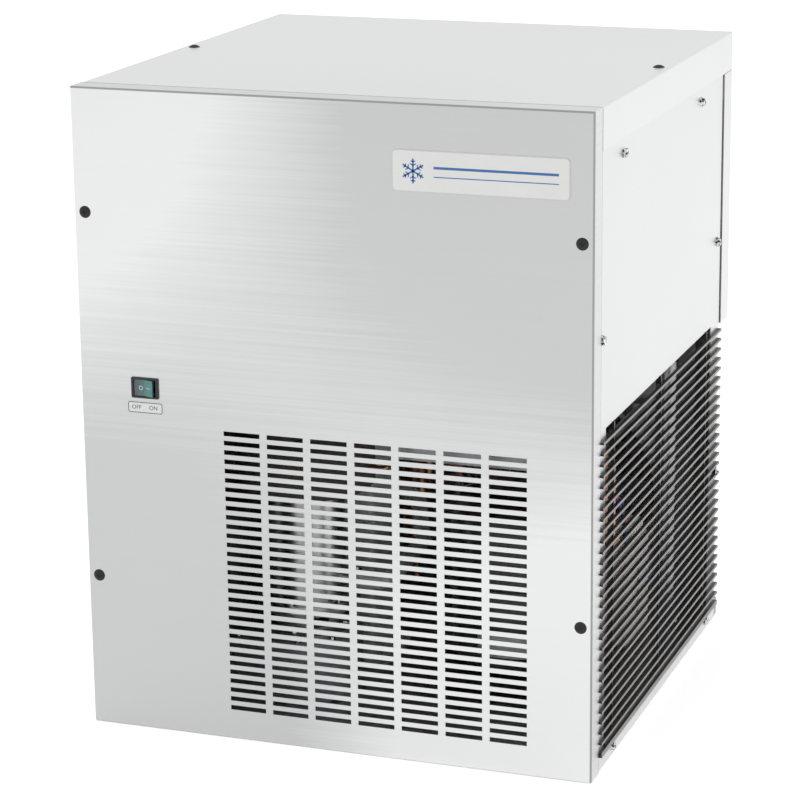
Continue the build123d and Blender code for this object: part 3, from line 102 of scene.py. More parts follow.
class Wire:
    def __init__(self, graph, socket):
        self.graph, self.socket = graph, socket

    def calc(self, operation, *others):
        return self.graph.node("ShaderNodeMath", {"operation": operation}, dict(enumerate((self, *others))))

    def reflected(self, operation, other):
        return self.graph.node("ShaderNodeMath", {"operation": operation}, {0: other, 1: self})

    def __add__(self, other):
        return self.calc("ADD", other)

    def __radd__(self, other):
        return self.reflected("ADD", other)

    def __sub__(self, other):
        return self.calc("SUBTRACT", other)

    def __rsub__(self, other):
        return self.reflected("SUBTRACT", other)

    def __mul__(self, other):
        return self.calc("MULTIPLY", other)

    def __rmul__(self, other):
        return self.reflected("MULTIPLY", other)

    def __pow__(self, other):
        return self.calc("POWER", other)

    def __gt__(self, other):
        return self.calc("GREATER_THAN", other)

    def __lt__(self, other):
        return self.calc("LESS_THAN", other)

    def __abs__(self):
        return self.calc("ABSOLUTE")

    def atLeast(self, other):
        return self.calc("MAXIMUM", other)

    def spread(self, low, high, newLow=0.0, newHigh=1.0):
        return self.graph.node("ShaderNodeMapRange", {"clamp": True}, {
            "Value": self, "From Min": low, "From Max": high, "To Min": newLow, "To Max": newHigh,
        })


class Graph:
    def __init__(self, tree):
        self.tree = tree
        tree.nodes.clear()

    def node(self, kind, settings=None, values=None, out=0):
        made = self.tree.nodes.new(kind)
        for setting, value in (settings or {}).items():
            if setting == "stops":
                made.color_ramp.interpolation = "CONSTANT"
                while len(made.color_ramp.elements) < len(value):
                    made.color_ramp.elements.new(0.5)
                for stop, (position, colour) in zip(made.color_ramp.elements, value):
                    stop.position, stop.color = position, (*colour, 1.0)
            else:
                setattr(made, setting, value)
        for place, value in (values or {}).items():
            socket = made.inputs[place]
            if isinstance(value, Wire):
                self.tree.links.new(value.socket, socket)
            elif isinstance(value, tuple):
                socket.default_value = (*value, 1.0)[:len(socket.default_value)]
            else:
                socket.default_value = value
        return Wire(self, made.outputs[out])

    def several(self, kind, *outs):
        made = self.node(kind).socket.node
        return [Wire(self, made.outputs[out]) for out in outs]

    def seenDirectly(self):
        camera, glossy, through = self.several(
            "ShaderNodeLightPath", "Is Camera Ray", "Is Glossy Ray", "Is Transmission Ray",
        )
        return camera.atLeast(glossy).atLeast(through)


class Finish(Graph):
    def __init__(self, name, **uniform):
        self.material = bpy.data.materials.new(name)
        self.material.use_nodes = True
        super().__init__(self.material.node_tree)
        self.shader = self.tree.nodes.new("ShaderNodeBsdfPrincipled")
        self.output = self.tree.nodes.new("ShaderNodeOutputMaterial")
        self.tree.links.new(self.shader.outputs[0], self.output.inputs[0])
        for socketName, value in uniform.items():
            self.shader.inputs[socketName.replace("_", " ")].default_value = value

    def feed(self, **links):
        for socketName, wire in links.items():
            self.tree.links.new(wire.socket, self.shader.inputs[socketName.replace("_", " ")])

    def place(self):
        return self.node("ShaderNodeTexCoord", out="Object")

    def axes(self):
        split = self.node("ShaderNodeSeparateXYZ", values={0: self.place()}).socket.node
        return [Wire(self, split.outputs[axis]) for axis in "XYZ"]

    def stretched(self, factors):
        return self.node("ShaderNodeVectorMath", {"operation": "MULTIPLY"}, {0: self.place(), 1: factors})

    def noise(self, scale, detail=3.0, where=None, out=0):
        return self.node("ShaderNodeTexNoise", values={
            "Vector": where or self.place(), "Scale": scale, "Detail": detail,
        }, out=out)

    def cells(self, scale, where=None, out="Distance"):
        return self.node("ShaderNodeTexVoronoi", values={
            "Vector": where or self.place(), "Scale": scale,
        }, out=out)

    def tint(self, low, high, amount):
        return self.node("ShaderNodeMix", {"data_type": "RGBA"}, {0: amount, 6: low, 7: high}, out=2)

    def bump(self, height, depth):
        self.feed(Normal=self.node("ShaderNodeBump", values={"Height": height, "Distance": depth}))


def shaded(colour, factor):
    return tuple(min(1.0, part * factor) for part in colour)


def dusted(colour, amount):
    return tuple(part * (1.0 - amount) + 0.45 * amount for part in colour)


# finishes, each for one kind of surface on the machine

def satinSteel(name, colour, darker, grain, shadeSeams, reflectionSaddle=None, roughness=0.34):
    # fine straight polish lines, faint handling marks, uneven gloss; the slow lighter and darker
    # change over the whole front is a painted reflection, and the dark strips along the folds and cut edges
    # are painted shade
    finish = Finish(name, Metallic=1.0)
    axes = finish.axes()
    lines = finish.noise(1.0, 4.0, finish.stretched(grain))
    marks = finish.noise(5.0, 4.0)
    broad = finish.noise(1.6, 1.0)
    shading = (lines - 0.5) * 0.35 + (broad - 0.5) * 0.5 + (marks - 0.5) * 0.25 + 0.5
    if reflectionSaddle:
        # painted reflection: a slow saddle of lighter and darker over the front face only
        paintedReflection = axes[0] * (reflectionSaddle["level"] - axes[2]) * reflectionSaddle["slope"] - reflectionSaddle["offset"]
        shading = shading + paintedReflection * (axes[1] < reflectionSaddle["front"])
    sheet = finish.tint(darker, colour, shading.spread(0.25, 0.75))
    # painted shade: darkened strips at the folds and between the flanges and the covers
    for shadeSeam in shadeSeams:
        seamShadeMask = 1.0
        for axis, wire in zip("xyz", axes):
            if axis in shadeSeam:
                seamShadeMask = (wire > shadeSeam[axis][0]) * (wire < shadeSeam[axis][1]) * seamShadeMask
        sheet = finish.tint(sheet, shaded(colour, shadeSeam["shade"]), seamShadeMask)
    finish.feed(
        Base_Color=sheet,
        Roughness=(marks - 0.5) * 0.14 + (lines - 0.5) * 0.12 + roughness,
    )
    finish.bump(lines, 0.000012)
    return finish.material


def zincSheet(name, colour):
    # hot-dip sheet: soft spangles of differing grey and gloss
    finish = Finish(name, Metallic=0.85)
    wander = finish.node("ShaderNodeVectorMath", {"operation": "SCALE"}, {
        0: finish.noise(30.0, 2.0, out="Color"), "Scale": 0.012,
    })
    warped = finish.node("ShaderNodeVectorMath", {"operation": "ADD"}, {0: finish.place(), 1: wander})
    flake = finish.node("ShaderNodeSeparateColor", values={0: finish.cells(75.0, warped, "Color")})
    dust = finish.noise(9.0, 5.0)
    finish.feed(
        Base_Color=finish.tint(shaded(colour, 0.72), colour, flake * 0.6 + dust * 0.4),
        Roughness=flake * 0.16 + dust * 0.12 + 0.34,
    )
    finish.bump(flake, 0.00004)
    return finish.material


def mouldedPlastic(name, colour, roughness=0.5, variation=0.16):
    # faint leather grain, uneven sheen, slight mottling
    finish = Finish(name, Specular_IOR_Level=0.45)
    grain = finish.cells(900.0)
    cloud = finish.noise(14.0, 4.0)
    finish.feed(
        Base_Color=finish.tint(shaded(colour, 1.0 - variation), shaded(colour, 1.0 + variation), cloud),
        Roughness=(cloud - 0.5) * 0.22 + roughness,
    )
    finish.bump(grain, 0.00003)
    return finish.material


def louvrePlastic(name, colour, edgeGlintColour, edgeX):
    # black blades; the strip that faces out is tinted light grey in cloudy patches, a painted reflection of
    # the pale surroundings
    finish = Finish(name)
    x = finish.axes()[0]
    cloud = finish.noise(18.0, 4.0)
    fine = finish.noise(260.0, 2.0)
    # painted reflection on the outward strip of each blade
    edgeGlint = (x > edgeX) * cloud.spread(0.2, 0.75, 0.8, 1.0)
    blade = finish.tint(shaded(colour, 0.7), shaded(colour, 1.7), cloud)
    finish.feed(
        Base_Color=finish.tint(blade, edgeGlintColour, edgeGlint),
        Roughness=(fine - 0.5) * 0.16 + 0.42,
    )
    finish.bump(fine, 0.00003)
    return finish.material


def enamel(name, colour, roughness=0.35, coat=0.3):
    # orange peel under a film of dust
    finish = Finish(name, Coat_Weight=coat, Coat_Roughness=0.18)
    peel = finish.noise(420.0, 2.0)
    dust = finish.noise(11.0, 5.0)
    finish.feed(
        Base_Color=finish.tint(colour, dusted(colour, 0.12), dust.spread(0.45, 0.75)),
        Roughness=dust * 0.2 + (roughness - 0.08),
    )
    finish.bump(peel, 0.00006)
    return finish.material


def castMetal(name, colour, roughness=0.52):
    # sand-cast skin with pits and darker hollows
    finish = Finish(name, Metallic=0.8)
    skin = finish.noise(240.0, 5.0)
    pits = finish.cells(150.0)
    stain = finish.noise(12.0, 4.0)
    finish.feed(
        Base_Color=finish.tint(shaded(colour, 0.62), colour, skin * 0.5 + stain * 0.5),
        Roughness=stain * 0.16 + (roughness - 0.08),
    )
    finish.bump(skin * 0.6 + pits * 0.4, 0.0003)
    return finish.material


def turnedMetal(name, colour, roughness=0.25, stretch=(1.5, 1.5, 700.0)):
    # tool marks round the part and a little oil staining
    finish = Finish(name, Metallic=1.0)
    rings = finish.noise(1.0, 3.0, finish.stretched(stretch))
    stain = finish.noise(16.0, 4.0)
    finish.feed(
        Base_Color=finish.tint(shaded(colour, 0.75), colour, rings * 0.5 + stain * 0.5),
        Roughness=(stain - 0.5) * 0.14 + rings * 0.08 + roughness,
    )
    finish.bump(rings, 0.00004)
    return finish.material


def brightScrew(name, paintedGlint, paintedDark):
    # plated head with a painted reflection: small patches of bright and dark laid into the base colour
    finish = Finish(name, Metallic=1.0)
    patches = finish.noise(330.0, 1.0)
    fine = finish.noise(1400.0, 2.0)
    finish.feed(
        Base_Color=finish.tint(paintedDark, paintedGlint, patches.spread(0.44, 0.54)),
        Roughness=fine * 0.15 + 0.12,
    )
    finish.bump(fine, 0.00002)
    return finish.material


def drawnCopper(name, colour, tarnish):
    # bright tube, darkened in patches by handling and brazing heat
    finish = Finish(name, Metallic=1.0)
    patches = finish.noise(22.0, 5.0)
    finish.feed(
        Base_Color=finish.tint(colour, tarnish, patches.spread(0.42, 0.72)),
        Roughness=patches * 0.25 + 0.2,
    )
    finish.bump(finish.noise(300.0, 2.0), 0.00003)
    return finish.material


def foamShell(name, colour):
    finish = Finish(name)
    pores = finish.cells(420.0)
    stain = finish.noise(10.0, 4.0)
    finish.feed(
        Base_Color=finish.tint(shaded(colour, 0.78), colour, stain.spread(0.3, 0.65) * 0.7 + pores * 0.3),
        Roughness=stain * 0.1 + 0.82,
    )
    finish.bump(pores, 0.0005)
    return finish.material


def softRubber(name, colour):
    finish = Finish(name)
    bloom = finish.noise(20.0, 4.0)
    finish.feed(
        Base_Color=finish.tint(colour, dusted(colour, 0.12), bloom.spread(0.45, 0.8)),
        Roughness=bloom * 0.15 + 0.62,
    )
    finish.bump(finish.noise(380.0, 3.0), 0.00008)
    return finish.material


def milkyPlastic(name, colour):
    # waxy food-grade moulding with water scale
    finish = Finish(name, IOR=1.49)
    scaleMarks = finish.noise(35.0, 5.0)
    soft = finish.noise(7.0, 2.0)
    finish.feed(
        Base_Color=finish.tint(shaded(colour, 0.86), colour, soft * 0.6 + scaleMarks * 0.4),
        Roughness=scaleMarks * 0.2 + 0.26,
    )
    finish.bump(scaleMarks, 0.00012)
    return finish.material


def linedPlate(name, colour, lineColour, plate):
    # a coated plate with a printed line that follows its rounded outline
    finish = Finish(name, Coat_Weight=0.35, Coat_Roughness=0.12)
    x, y, z = finish.axes()
    corner = plate["corner"]
    across = (abs(x - plate["middle"][0]) - (plate["size"][0] / 2 - corner)).atLeast(0.0)
    down = (abs(z - plate["middle"][1]) - (plate["size"][1] / 2 - corner)).atLeast(0.0)
    outside = (across * across + down * down) ** 0.5 - corner
    line = (outside > -plate["inset"] - plate["line"]) * (outside < -plate["inset"])
    cloud = finish.noise(40.0, 4.0)
    face = finish.tint(shaded(colour, 0.95), shaded(colour, 1.03), cloud)
    finish.feed(
        Base_Color=finish.tint(face, lineColour, line),
        Roughness=cloud * 0.12 + 0.28,
    )
    finish.bump(cloud, 0.00001)
    return finish.material


def tintedRocker(name, slate, teal, middleX, reach):
    # slate at its left, bright teal right of the middle
    finish = Finish(name, Coat_Weight=0.8, Coat_Roughness=0.05, Roughness=0.2)
    x = finish.axes()[0]
    cloud = finish.noise(160.0, 3.0)
    body = finish.tint(shaded(teal, 0.7), shaded(teal, 1.25), cloud)
    finish.feed(Base_Color=finish.tint(slate, body, (x - middleX).spread(-reach, reach * 0.3)))
    finish.bump(cloud, 0.00002)
    return finish.material


def wireJackets(name, colours):
    # each lead is an island of the mesh, so each takes its own colour
    finish = Finish(name, Roughness=0.45)
    pick = finish.node("ShaderNodeNewGeometry", out="Random Per Island")
    stops = [(place / len(colours), colour) for place, colour in enumerate(colours)]
    jacket = finish.node("ShaderNodeValToRGB", {"stops": stops}, {0: pick})
    grime = finish.noise(60.0, 4.0)
    finish.feed(Base_Color=finish.tint(jacket, (0.03, 0.03, 0.03), grime.spread(0.5, 0.9, 0.0, 0.5)))
    finish.bump(grime, 0.00005)
    return finish.material


def makeFloor(look):
    # diffuse, so that it holds the shadow; its lift is for what is seen directly
    finish = Finish(
        "whiteFloor", Base_Color=(*look["floorColour"], 1.0), Roughness=look["floorRoughness"],
        Specular_IOR_Level=look["floorGloss"],
    )
    lift = finish.node("ShaderNodeEmission", values={
        "Color": (1.0, 1.0, 1.0), "Strength": finish.seenDirectly() * look["floorLift"],
    })
    both = finish.node("ShaderNodeAddShader", values={0: Wire(finish, finish.shader.outputs[0]), 1: lift})
    finish.tree.links.new(both.socket, finish.output.inputs[0])
    shape = bmesh.new()
    bmesh.ops.create_grid(shape, x_segments=2, y_segments=2, size=look["floorHalf"])
    mesh = bpy.data.meshes.new("studioFloor")
    shape.to_mesh(mesh)
    shape.free()
    mesh.materials.append(finish.material)
    floor = bpy.data.objects.new("studioFloor", mesh)
    floor.location.z = -look["floorDrop"]
    scene.collection.objects.link(floor)


def makeSky(look):
    world = bpy.data.worlds.new("paleSky")
    world.use_nodes = True
    scene.world = world
    graph = Graph(world.node_tree)
    seen = graph.seenDirectly()
    strength = seen * (look["skySeen"] - look["skyLight"]) + look["skyLight"]
    sky = graph.node("ShaderNodeBackground", values={"Color": (1.0, 1.0, 1.0), "Strength": strength})
    output = graph.tree.nodes.new("ShaderNodeOutputWorld")
    graph.tree.links.new(sky.socket, output.inputs[0])


scene.view_settings.view_transform = "Standard"
makeCamera(cameraView)
makeFloor(studio)
makeSky(studio)
for box in softboxes:
    makeSoftbox(*box)
print("camera, floor and light made")

# finishes on the CAD nodes

def corners(nodeName):
    return tuple(Vector(corner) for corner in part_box(nodeName))


def middleOf(nodeName):
    low, high = corners(nodeName)
    return (low + high) / 2


def plateOutline(nodeName, **line):
    # the middle and size of a flat front plate along x and z, with the form of its line
    low, high = corners(nodeName)
    middle = middleOf(nodeName)
    return {"middle": (middle.x, middle.z), "size": (high.x - low.x, high.z - low.z), **line}


badge = plateOutline("badge_plate", corner=0.005, inset=0.0, line=0.0011)
label = plateOutline("switch_label", corner=0.003, inset=0.0006, line=0.0009)
switchMiddle = middleOf("switch_body")
rockerReach = 0.010
louvreFace = corners("side_louvre")[1].x - 0.0004

steelGrey = (0.73, 0.735, 0.735)
steelShade = (0.66, 0.665, 0.668)
panelLow, panelHigh = corners("front_panel")
coverLow = corners("top_cover")[0]
fold = 0.0018
cutEdge = 0.0007
beyond = 1.0
# painted reflection across the front face: where the saddle is level, how steep it is, and its offset
frontReflectionSaddle = {"front": panelLow.y + 0.0008, "level": 0.36, "slope": 11.0, "offset": 0.1}

# painted shade at the folds and cut edges: how dark each strip reads, and the range along each axis that it
# fills
nearFront = (-beyond, panelLow.y + fold)
frontShadeSeams = [
    {"shade": 0.42, "y": nearFront, "z": (panelHigh.z - fold, beyond)},
    {"shade": 0.42, "y": nearFront, "x": (panelHigh.x - fold, beyond)},
    {"shade": 0.30, "y": (panelHigh.y - cutEdge, beyond)},
]
coverShadeSeams = [{"shade": 0.30, "y": (-beyond, coverLow.y + cutEdge)}]

finishes = {
    # one steel given a different brightness per face: these steps, and the front's much darker low end, are
    # painted light and shade
    "frontSteel": satinSteel(
        "frontSteel", shaded(steelGrey, 0.98), shaded(steelShade, 0.78), (2.5, 2.5, 330.0), frontShadeSeams,
        frontReflectionSaddle,
    ),
    "sideSteel": satinSteel(
        "sideSteel", shaded(steelGrey, 0.97), shaded(steelShade, 0.94), (2.5, 2.5, 330.0), coverShadeSeams,
    ),
    "topSteel": satinSteel(
        "topSteel", shaded(steelGrey, 1.00), shaded(steelShade, 0.99), (2.5, 330.0, 2.5), coverShadeSeams,
    ),
    # the frame's near-black zinc is painted shade, so the inside seen through the gaps reads dark
    "shadowedFrameZinc": zincSheet("shadowedFrameZinc", (0.13, 0.135, 0.14)),
    "zinc": zincSheet("zinc", (0.46, 0.475, 0.49)),
    "louvre": louvrePlastic("louvre", (0.016, 0.015, 0.015), (0.30, 0.29, 0.28), louvreFace),
    "blackScrew": mouldedPlastic("blackScrew", (0.006, 0.006, 0.006), 0.55),
    "zincScrew": brightScrew("zincScrew", (0.80, 0.81, 0.82), (0.05, 0.05, 0.055)),
    "badgePlate": linedPlate("badgePlate", (0.86, 0.86, 0.85), (0.66, 0.66, 0.66), badge),
    "labelPlate": linedPlate("labelPlate", (0.84, 0.84, 0.85), (0.10, 0.10, 0.11), label),
    "switchBlack": mouldedPlastic("switchBlack", (0.012, 0.012, 0.013), 0.25),
    "rocker": tintedRocker(
        "rocker", (0.05, 0.06, 0.085), (0.022, 0.20, 0.185), switchMiddle.x, rockerReach,
    ),
    "castAluminium": castMetal("castAluminium", (0.45, 0.46, 0.47)),
    "gearSteel": turnedMetal("gearSteel", (0.46, 0.46, 0.48), 0.3, (120.0, 120.0, 900.0)),
    "motorEnamel": enamel("motorEnamel", (0.035, 0.037, 0.04), 0.4, 0.15),
    "turnedSteel": turnedMetal("turnedSteel", (0.72, 0.72, 0.73)),
    "rubber": softRubber("rubber", (0.018, 0.018, 0.018)),
    "copper": drawnCopper("copper", (0.78, 0.36, 0.20), (0.30, 0.14, 0.08)),
    "foam": foamShell("foam", (0.11, 0.108, 0.10)),
    "bronze": castMetal("bronze", (0.62, 0.47, 0.24), 0.4),
    "milky": milkyPlastic("milky", (0.80, 0.83, 0.84)),
    "compressorBlack": enamel("compressorBlack", (0.014, 0.014, 0.016), 0.22, 0.6),
    "terminalGrey": mouldedPlastic("terminalGrey", (0.46, 0.45, 0.42), 0.55),
    "finAluminium": turnedMetal("finAluminium", (0.62, 0.63, 0.65), 0.35, (60.0, 60.0, 500.0)),
    "fanAluminium": turnedMetal("fanAluminium", (0.55, 0.56, 0.58), 0.35, (300.0, 300.0, 300.0)),
    "brass": turnedMetal("brass", (0.72, 0.55, 0.26), 0.25, (500.0, 500.0, 500.0)),
    "fittingBlack": mouldedPlastic("fittingBlack", (0.02, 0.02, 0.022), 0.4),
    "resetRed": mouldedPlastic("resetRed", (0.45, 0.012, 0.010), 0.3),
    "hose": milkyPlastic("hose", (0.62, 0.66, 0.64)),
    "contactor": mouldedPlastic("contactor", (0.09, 0.09, 0.10), 0.45),
    "paleInk": mouldedPlastic("paleInk", (0.66, 0.72, 0.71), 0.4, 0.06),
    "darkInk": mouldedPlastic("darkInk", (0.035, 0.035, 0.04), 0.5),
    "blueInk": mouldedPlastic("blueInk", (0.05, 0.17, 0.42), 0.35),
    "rubbedPlastic": mouldedPlastic("rubbedPlastic", (0.11, 0.105, 0.10), 0.5),
    "paleNylon": mouldedPlastic("paleNylon", (0.72, 0.72, 0.68), 0.4, 0.08),
    "blueNylon": mouldedPlastic("blueNylon", (0.015, 0.10, 0.55), 0.35),
    "tagMetal": turnedMetal("tagMetal", (0.78, 0.78, 0.77), 0.35, (300.0, 300.0, 3.0)),
    "leads": wireJackets("leads", [
        (0.45, 0.02, 0.02), (0.02, 0.06, 0.40), (0.02, 0.02, 0.02), (0.5, 0.5, 0.5),
    ]),
}

nodeFinish = {
    "frontSteel": ["front_panel"],
    "sideSteel": ["side_panel_left", "side_panel_right", "rear_cover"],
    "topSteel": ["top_cover"],
    "zinc": ["base_pan", "rear_panel", "fan_shroud", "control_box", "box_cover"],
    # near-black frame finish: painted shade
    "shadowedFrameZinc": ["front_posts", "rear_posts", "top_frame"],
    "louvre": ["side_louvre"],
    "blackScrew": ["black_screws"],
    "zincScrew": ["hex_screws"],
    "badgePlate": ["badge_plate"],
    "labelPlate": ["switch_label"],
    "switchBlack": ["switch_body"],
    "rocker": ["switch_rocker"],
    "castAluminium": ["gearbox_housing", "gearbox_lid", "drive_adapter"],
    "gearSteel": ["motor_rotor", "middle_gear", "output_gear", "shaft_bearings"],
    "motorEnamel": ["drive_motor", "fan_motor"],
    "turnedSteel": ["barrel", "auger"],
    "rubber": ["shaft_seal", "compressor_mounts"],
    "copper": ["evaporator_jacket", "discharge_line", "liquid_line", "suction_line", "filter_drier"],
    "foam": ["barrel_insulation"],
    "bronze": ["ice_head"],
    "milky": ["ice_spout", "ice_chute", "float_tank", "tank_lid", "float_lever"],
    "compressorBlack": ["compressor"],
    "terminalGrey": ["terminal_cover"],
    "finAluminium": ["condenser"],
    "fanAluminium": ["fan_blade"],
    "brass": ["expansion_valve", "water_inlet"],
    "fittingBlack": ["pressure_switch", "drain_spigot", "cable_gland"],
    "resetRed": ["reset_button"],
    "hose": ["supply_hose", "feed_hose", "drain_hose"],
    "contactor": ["contactor"],
    "leads": ["wires"],
}

for finishName, members in nodeFinish.items():
    for member in members:
        nodes[member].data.materials.clear()
        nodes[member].data.materials.append(finishes[finishName])
print("finishes made for", sum(map(len, nodeFinish.values())), "nodes")

# mesh helpers for the small pieces

edgeRules = {"bevelFrom": 0.6, "sharpFrom": math.radians(35.0)}
upward = (0, 0, 1)
downward = (0, 0, -1)
frontward = (0, -1, 0)
rearward = (0, 1, 0)


def addPiece(name, shape, finishName, body="cabinet", soften=0.0):
    # one named mesh that rides on a body; soften rounds its outer edges
    if soften:
        edges = [
            edge for edge in shape.edges
            if len(edge.link_faces) == 2 and edge.calc_face_angle() > edgeRules["bevelFrom"]
        ]
        bmesh.ops.bevel(shape, geom=edges, offset=soften, segments=2, profile=0.5, affect="EDGES")
    bmesh.ops.recalc_face_normals(shape, faces=shape.faces)
    mesh = bpy.data.meshes.new(name)
    shape.to_mesh(mesh)
    shape.free()
    mesh.shade_smooth()
    mesh.set_sharp_from_angle(angle=edgeRules["sharpFrom"])
    mesh.materials.append(finishes[finishName])
    piece = bpy.data.objects.new(name, mesh)
    scene.collection.objects.link(piece)
    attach(piece, body)


def facing(place, direction, turn=0.0):
    # local +Z along direction
    towards = Vector(direction).to_track_quat("Z", "Y").to_matrix().to_4x4()
    return Matrix.Translation(place) @ towards @ Matrix.Rotation(turn, 4, "Z")


def onCircle(radius, angle, height):
    return Vector((radius * math.cos(angle), radius * math.sin(angle), height))


def turnedSolid(shape, profile, place, sides=24):
    # profile is (radius, height) from one flat end to the other
    rows = [
        [
            shape.verts.new(place @ onCircle(radius, 2 * math.pi * step / sides, height))
            for step in range(sides)
        ]
        for radius, height in profile
    ]
    for low, high in zip(rows, rows[1:]):
        for step in range(sides):
            after = (step + 1) % sides
            shape.faces.new((low[step], low[after], high[after], high[step]))
    shape.faces.new(list(reversed(rows[0])))
    shape.faces.new(rows[-1])


def hoop(shape, section, place, sides=36, start=0.0, sweepAngle=None):
    # section is a closed outline of (radius, height); a part turn gets end faces
    closed = sweepAngle is None
    turn = 2 * math.pi if closed else sweepAngle
    count = sides if closed else sides + 1
    rows = [
        [
            shape.verts.new(place @ onCircle(radius, start + turn * step / sides, height))
            for radius, height in section
        ]
        for step in range(count)
    ]
    for step in range(sides):
        here, there = rows[step], rows[(step + 1) % count]
        for side in range(len(section)):
            after = (side + 1) % len(section)
            shape.faces.new((here[side], there[side], there[after], here[after]))
    if not closed:
        shape.faces.new(list(reversed(rows[0])))
        shape.faces.new(rows[-1])


def band(inner, outer, low, high):
    return [(inner, low), (outer, low), (outer, high), (inner, high)]


def slab(shape, low, high, place=Matrix.Identity(4)):
    middle = (Vector(low) + Vector(high)) / 2
    size = Vector(high) - Vector(low)
    made = bmesh.ops.create_cube(shape, size=1.0)
    moved = place @ Matrix.Translation(middle) @ Matrix.Diagonal((*size, 1.0))
    bmesh.ops.transform(shape, matrix=moved, verts=made["verts"])


boltForm = {
    "washer": 0.62, "washerTop": 0.0010, "washerRim": 0.0008, "rimShare": 0.94,
    "sunk": 0.0001, "crown": 0.0008, "crownShare": 0.86,
}


def hexBolt(shape, place, across, tall):
    form = boltForm
    corner = across / 2 / math.cos(math.pi / 6)
    washer = across * form["washer"]
    turnedSolid(shape, [
        (washer, 0.0), (washer, form["washerRim"]), (washer * form["rimShare"], form["washerTop"]),
    ], place)
    turnedSolid(shape, [
        (corner, form["washerTop"] - form["sunk"]), (corner, tall - form["crown"]),
        (corner * form["crownShare"], tall),
    ], place, 6)


def boltCircle(shape, centre, radius, level, angles, bolt, up=True):
    # bolt is its width across flats and its height
    for angle in angles:
        turn = math.radians(angle)
        place = onCircle(radius, turn, level) + Vector((*centre, 0.0))
        hexBolt(shape, facing(place, upward if up else downward, turn), *bolt)


# marks on the rocker, its small label and the badge

rockerMarks = {
    "pivotY": -0.2789, "leftFace": (-0.0044, -0.00433), "rightFace": (0.0046, -0.00605),
    "rightNormal": (-0.309, -0.951, 0.0), "rightAlong": (0.951, -0.309, 0.0),
    "ring": (0.00165, 0.00235), "dash": (0.0023, 0.00038), "raised": 0.00012, "sunk": 0.00005,
}

shape = bmesh.new()
look = rockerMarks
pivot = Vector((switchMiddle.x, look["pivotY"], switchMiddle.z))
ringPlace = facing(pivot + Vector((*look["leftFace"], 0.0)), frontward)
hoop(shape, band(*look["ring"], -look["sunk"], look["raised"]), ringPlace)
dashPlace = facing(pivot + Vector((*look["rightFace"], 0.0)), look["rightNormal"])
along = dashPlace.to_3x3().inverted() @ Vector(look["rightAlong"])
dashTurn = dashPlace @ Matrix.Rotation(math.atan2(along.y, along.x), 4, "Z")
halfLong, halfWide = look["dash"]
slab(shape, (-halfLong, -halfWide, -look["sunk"]), (halfLong, halfWide, look["raised"]), dashTurn)
addPiece("rocker_marks", shape, "paleInk", "rocker")

labelWords = {
    "words": (("OFF", -0.0099), ("ON", 0.0092)), "height": 0.0062, "raised": 0.00004, "sunk": 0.00002,
}


def addWords(name, look, middle, finishName):
    shape = bmesh.new()
    for word, offset in look["words"]:
        curve = bpy.data.curves.new(name, "FONT")
        curve.body, curve.size, curve.extrude = word, look["height"], look["raised"]
        curve.align_x, curve.align_y = "CENTER", "CENTER"
        holder = bpy.data.objects.new(name, curve)
        upright = Matrix.Rotation(math.pi / 2, 4, "X")
        holder.matrix_world = Matrix.Translation(middle + Vector((offset, 0.0, 0.0))) @ upright
        scene.collection.objects.link(holder)
        bpy.context.view_layer.update()
        settled = holder.evaluated_get(bpy.context.evaluated_depsgraph_get())
        letters = bpy.data.meshes.new_from_object(settled)
        letters.transform(holder.matrix_world)
        shape.from_mesh(letters)
        bpy.data.objects.remove(holder)
        bpy.data.meshes.remove(letters)
        bpy.data.curves.remove(curve)
    bmesh.ops.remove_doubles(shape, verts=shape.verts, dist=0.000001)
    addPiece(name, shape, finishName)


labelFace = corners("switch_label")[0].y + labelWords["sunk"]
labelMiddle = Vector((label["middle"][0], labelFace, label["middle"][1]))
addWords("label_marks", labelWords, labelMiddle, "darkInk")

badgeMotif = {
    "flakeFromLeft": 0.0224, "reach": 0.0125, "arm": 0.00085, "twigs": ((0.45, 0.0036), (0.72, 0.0027)),
    "twigShare": 0.7, "stripesFromLeft": (0.0439, 0.1729),
    "stripeLevels": ((0.0028, 0.0054), (-0.0056, -0.0046)), "raised": 0.00005,
}

shape = bmesh.new()
look = badgeMotif
badgeCorner = corners("badge_plate")[0]
badgeLevel = badge["middle"][1]
raised, half = look["raised"], look["arm"]
thin = half * look["twigShare"]
centre = Matrix.Translation((badgeCorner.x + look["flakeFromLeft"], badgeCorner.y, badgeLevel))
for arm in range(6):
    turned = centre @ Matrix.Rotation(arm * math.pi / 3, 4, "Y")
    slab(shape, (-half, -raised, 0.0), (half, raised, look["reach"]), turned)
    for share, length in look["twigs"]:
        root = turned @ Matrix.Translation((0, 0, share * look["reach"]))
        for side in (-1, 1):
            twig = root @ Matrix.Rotation(side * math.pi / 3, 4, "Y")
            slab(shape, (-thin, -raised, 0.0), (thin, raised, length), twig)
left, right = (badgeCorner.x + reach for reach in look["stripesFromLeft"])
for low, high in look["stripeLevels"]:
    slab(
        shape, (left, badgeCorner.y - raised, badgeLevel + low),
        (right, badgeCorner.y + raised, badgeLevel + high),
    )
addPiece("badge_motif", shape, "blueInk")
print("marks made")

# louvre: small feet that key each slat to its ribs

louvreFeet = {
    "ribs": (-0.2053, -0.0183, 0.1833), "ribHalf": 0.0015, "firstLevel": 0.0324, "pitch": 0.01149,
    "count": 29, "inner": 0.2752, "outer": 0.2786, "thick": 0.0016, "above": 0.0024, "below": 0.0030,
    "toe": (0.0012, 0.0014), "toeShare": 2.4,
}

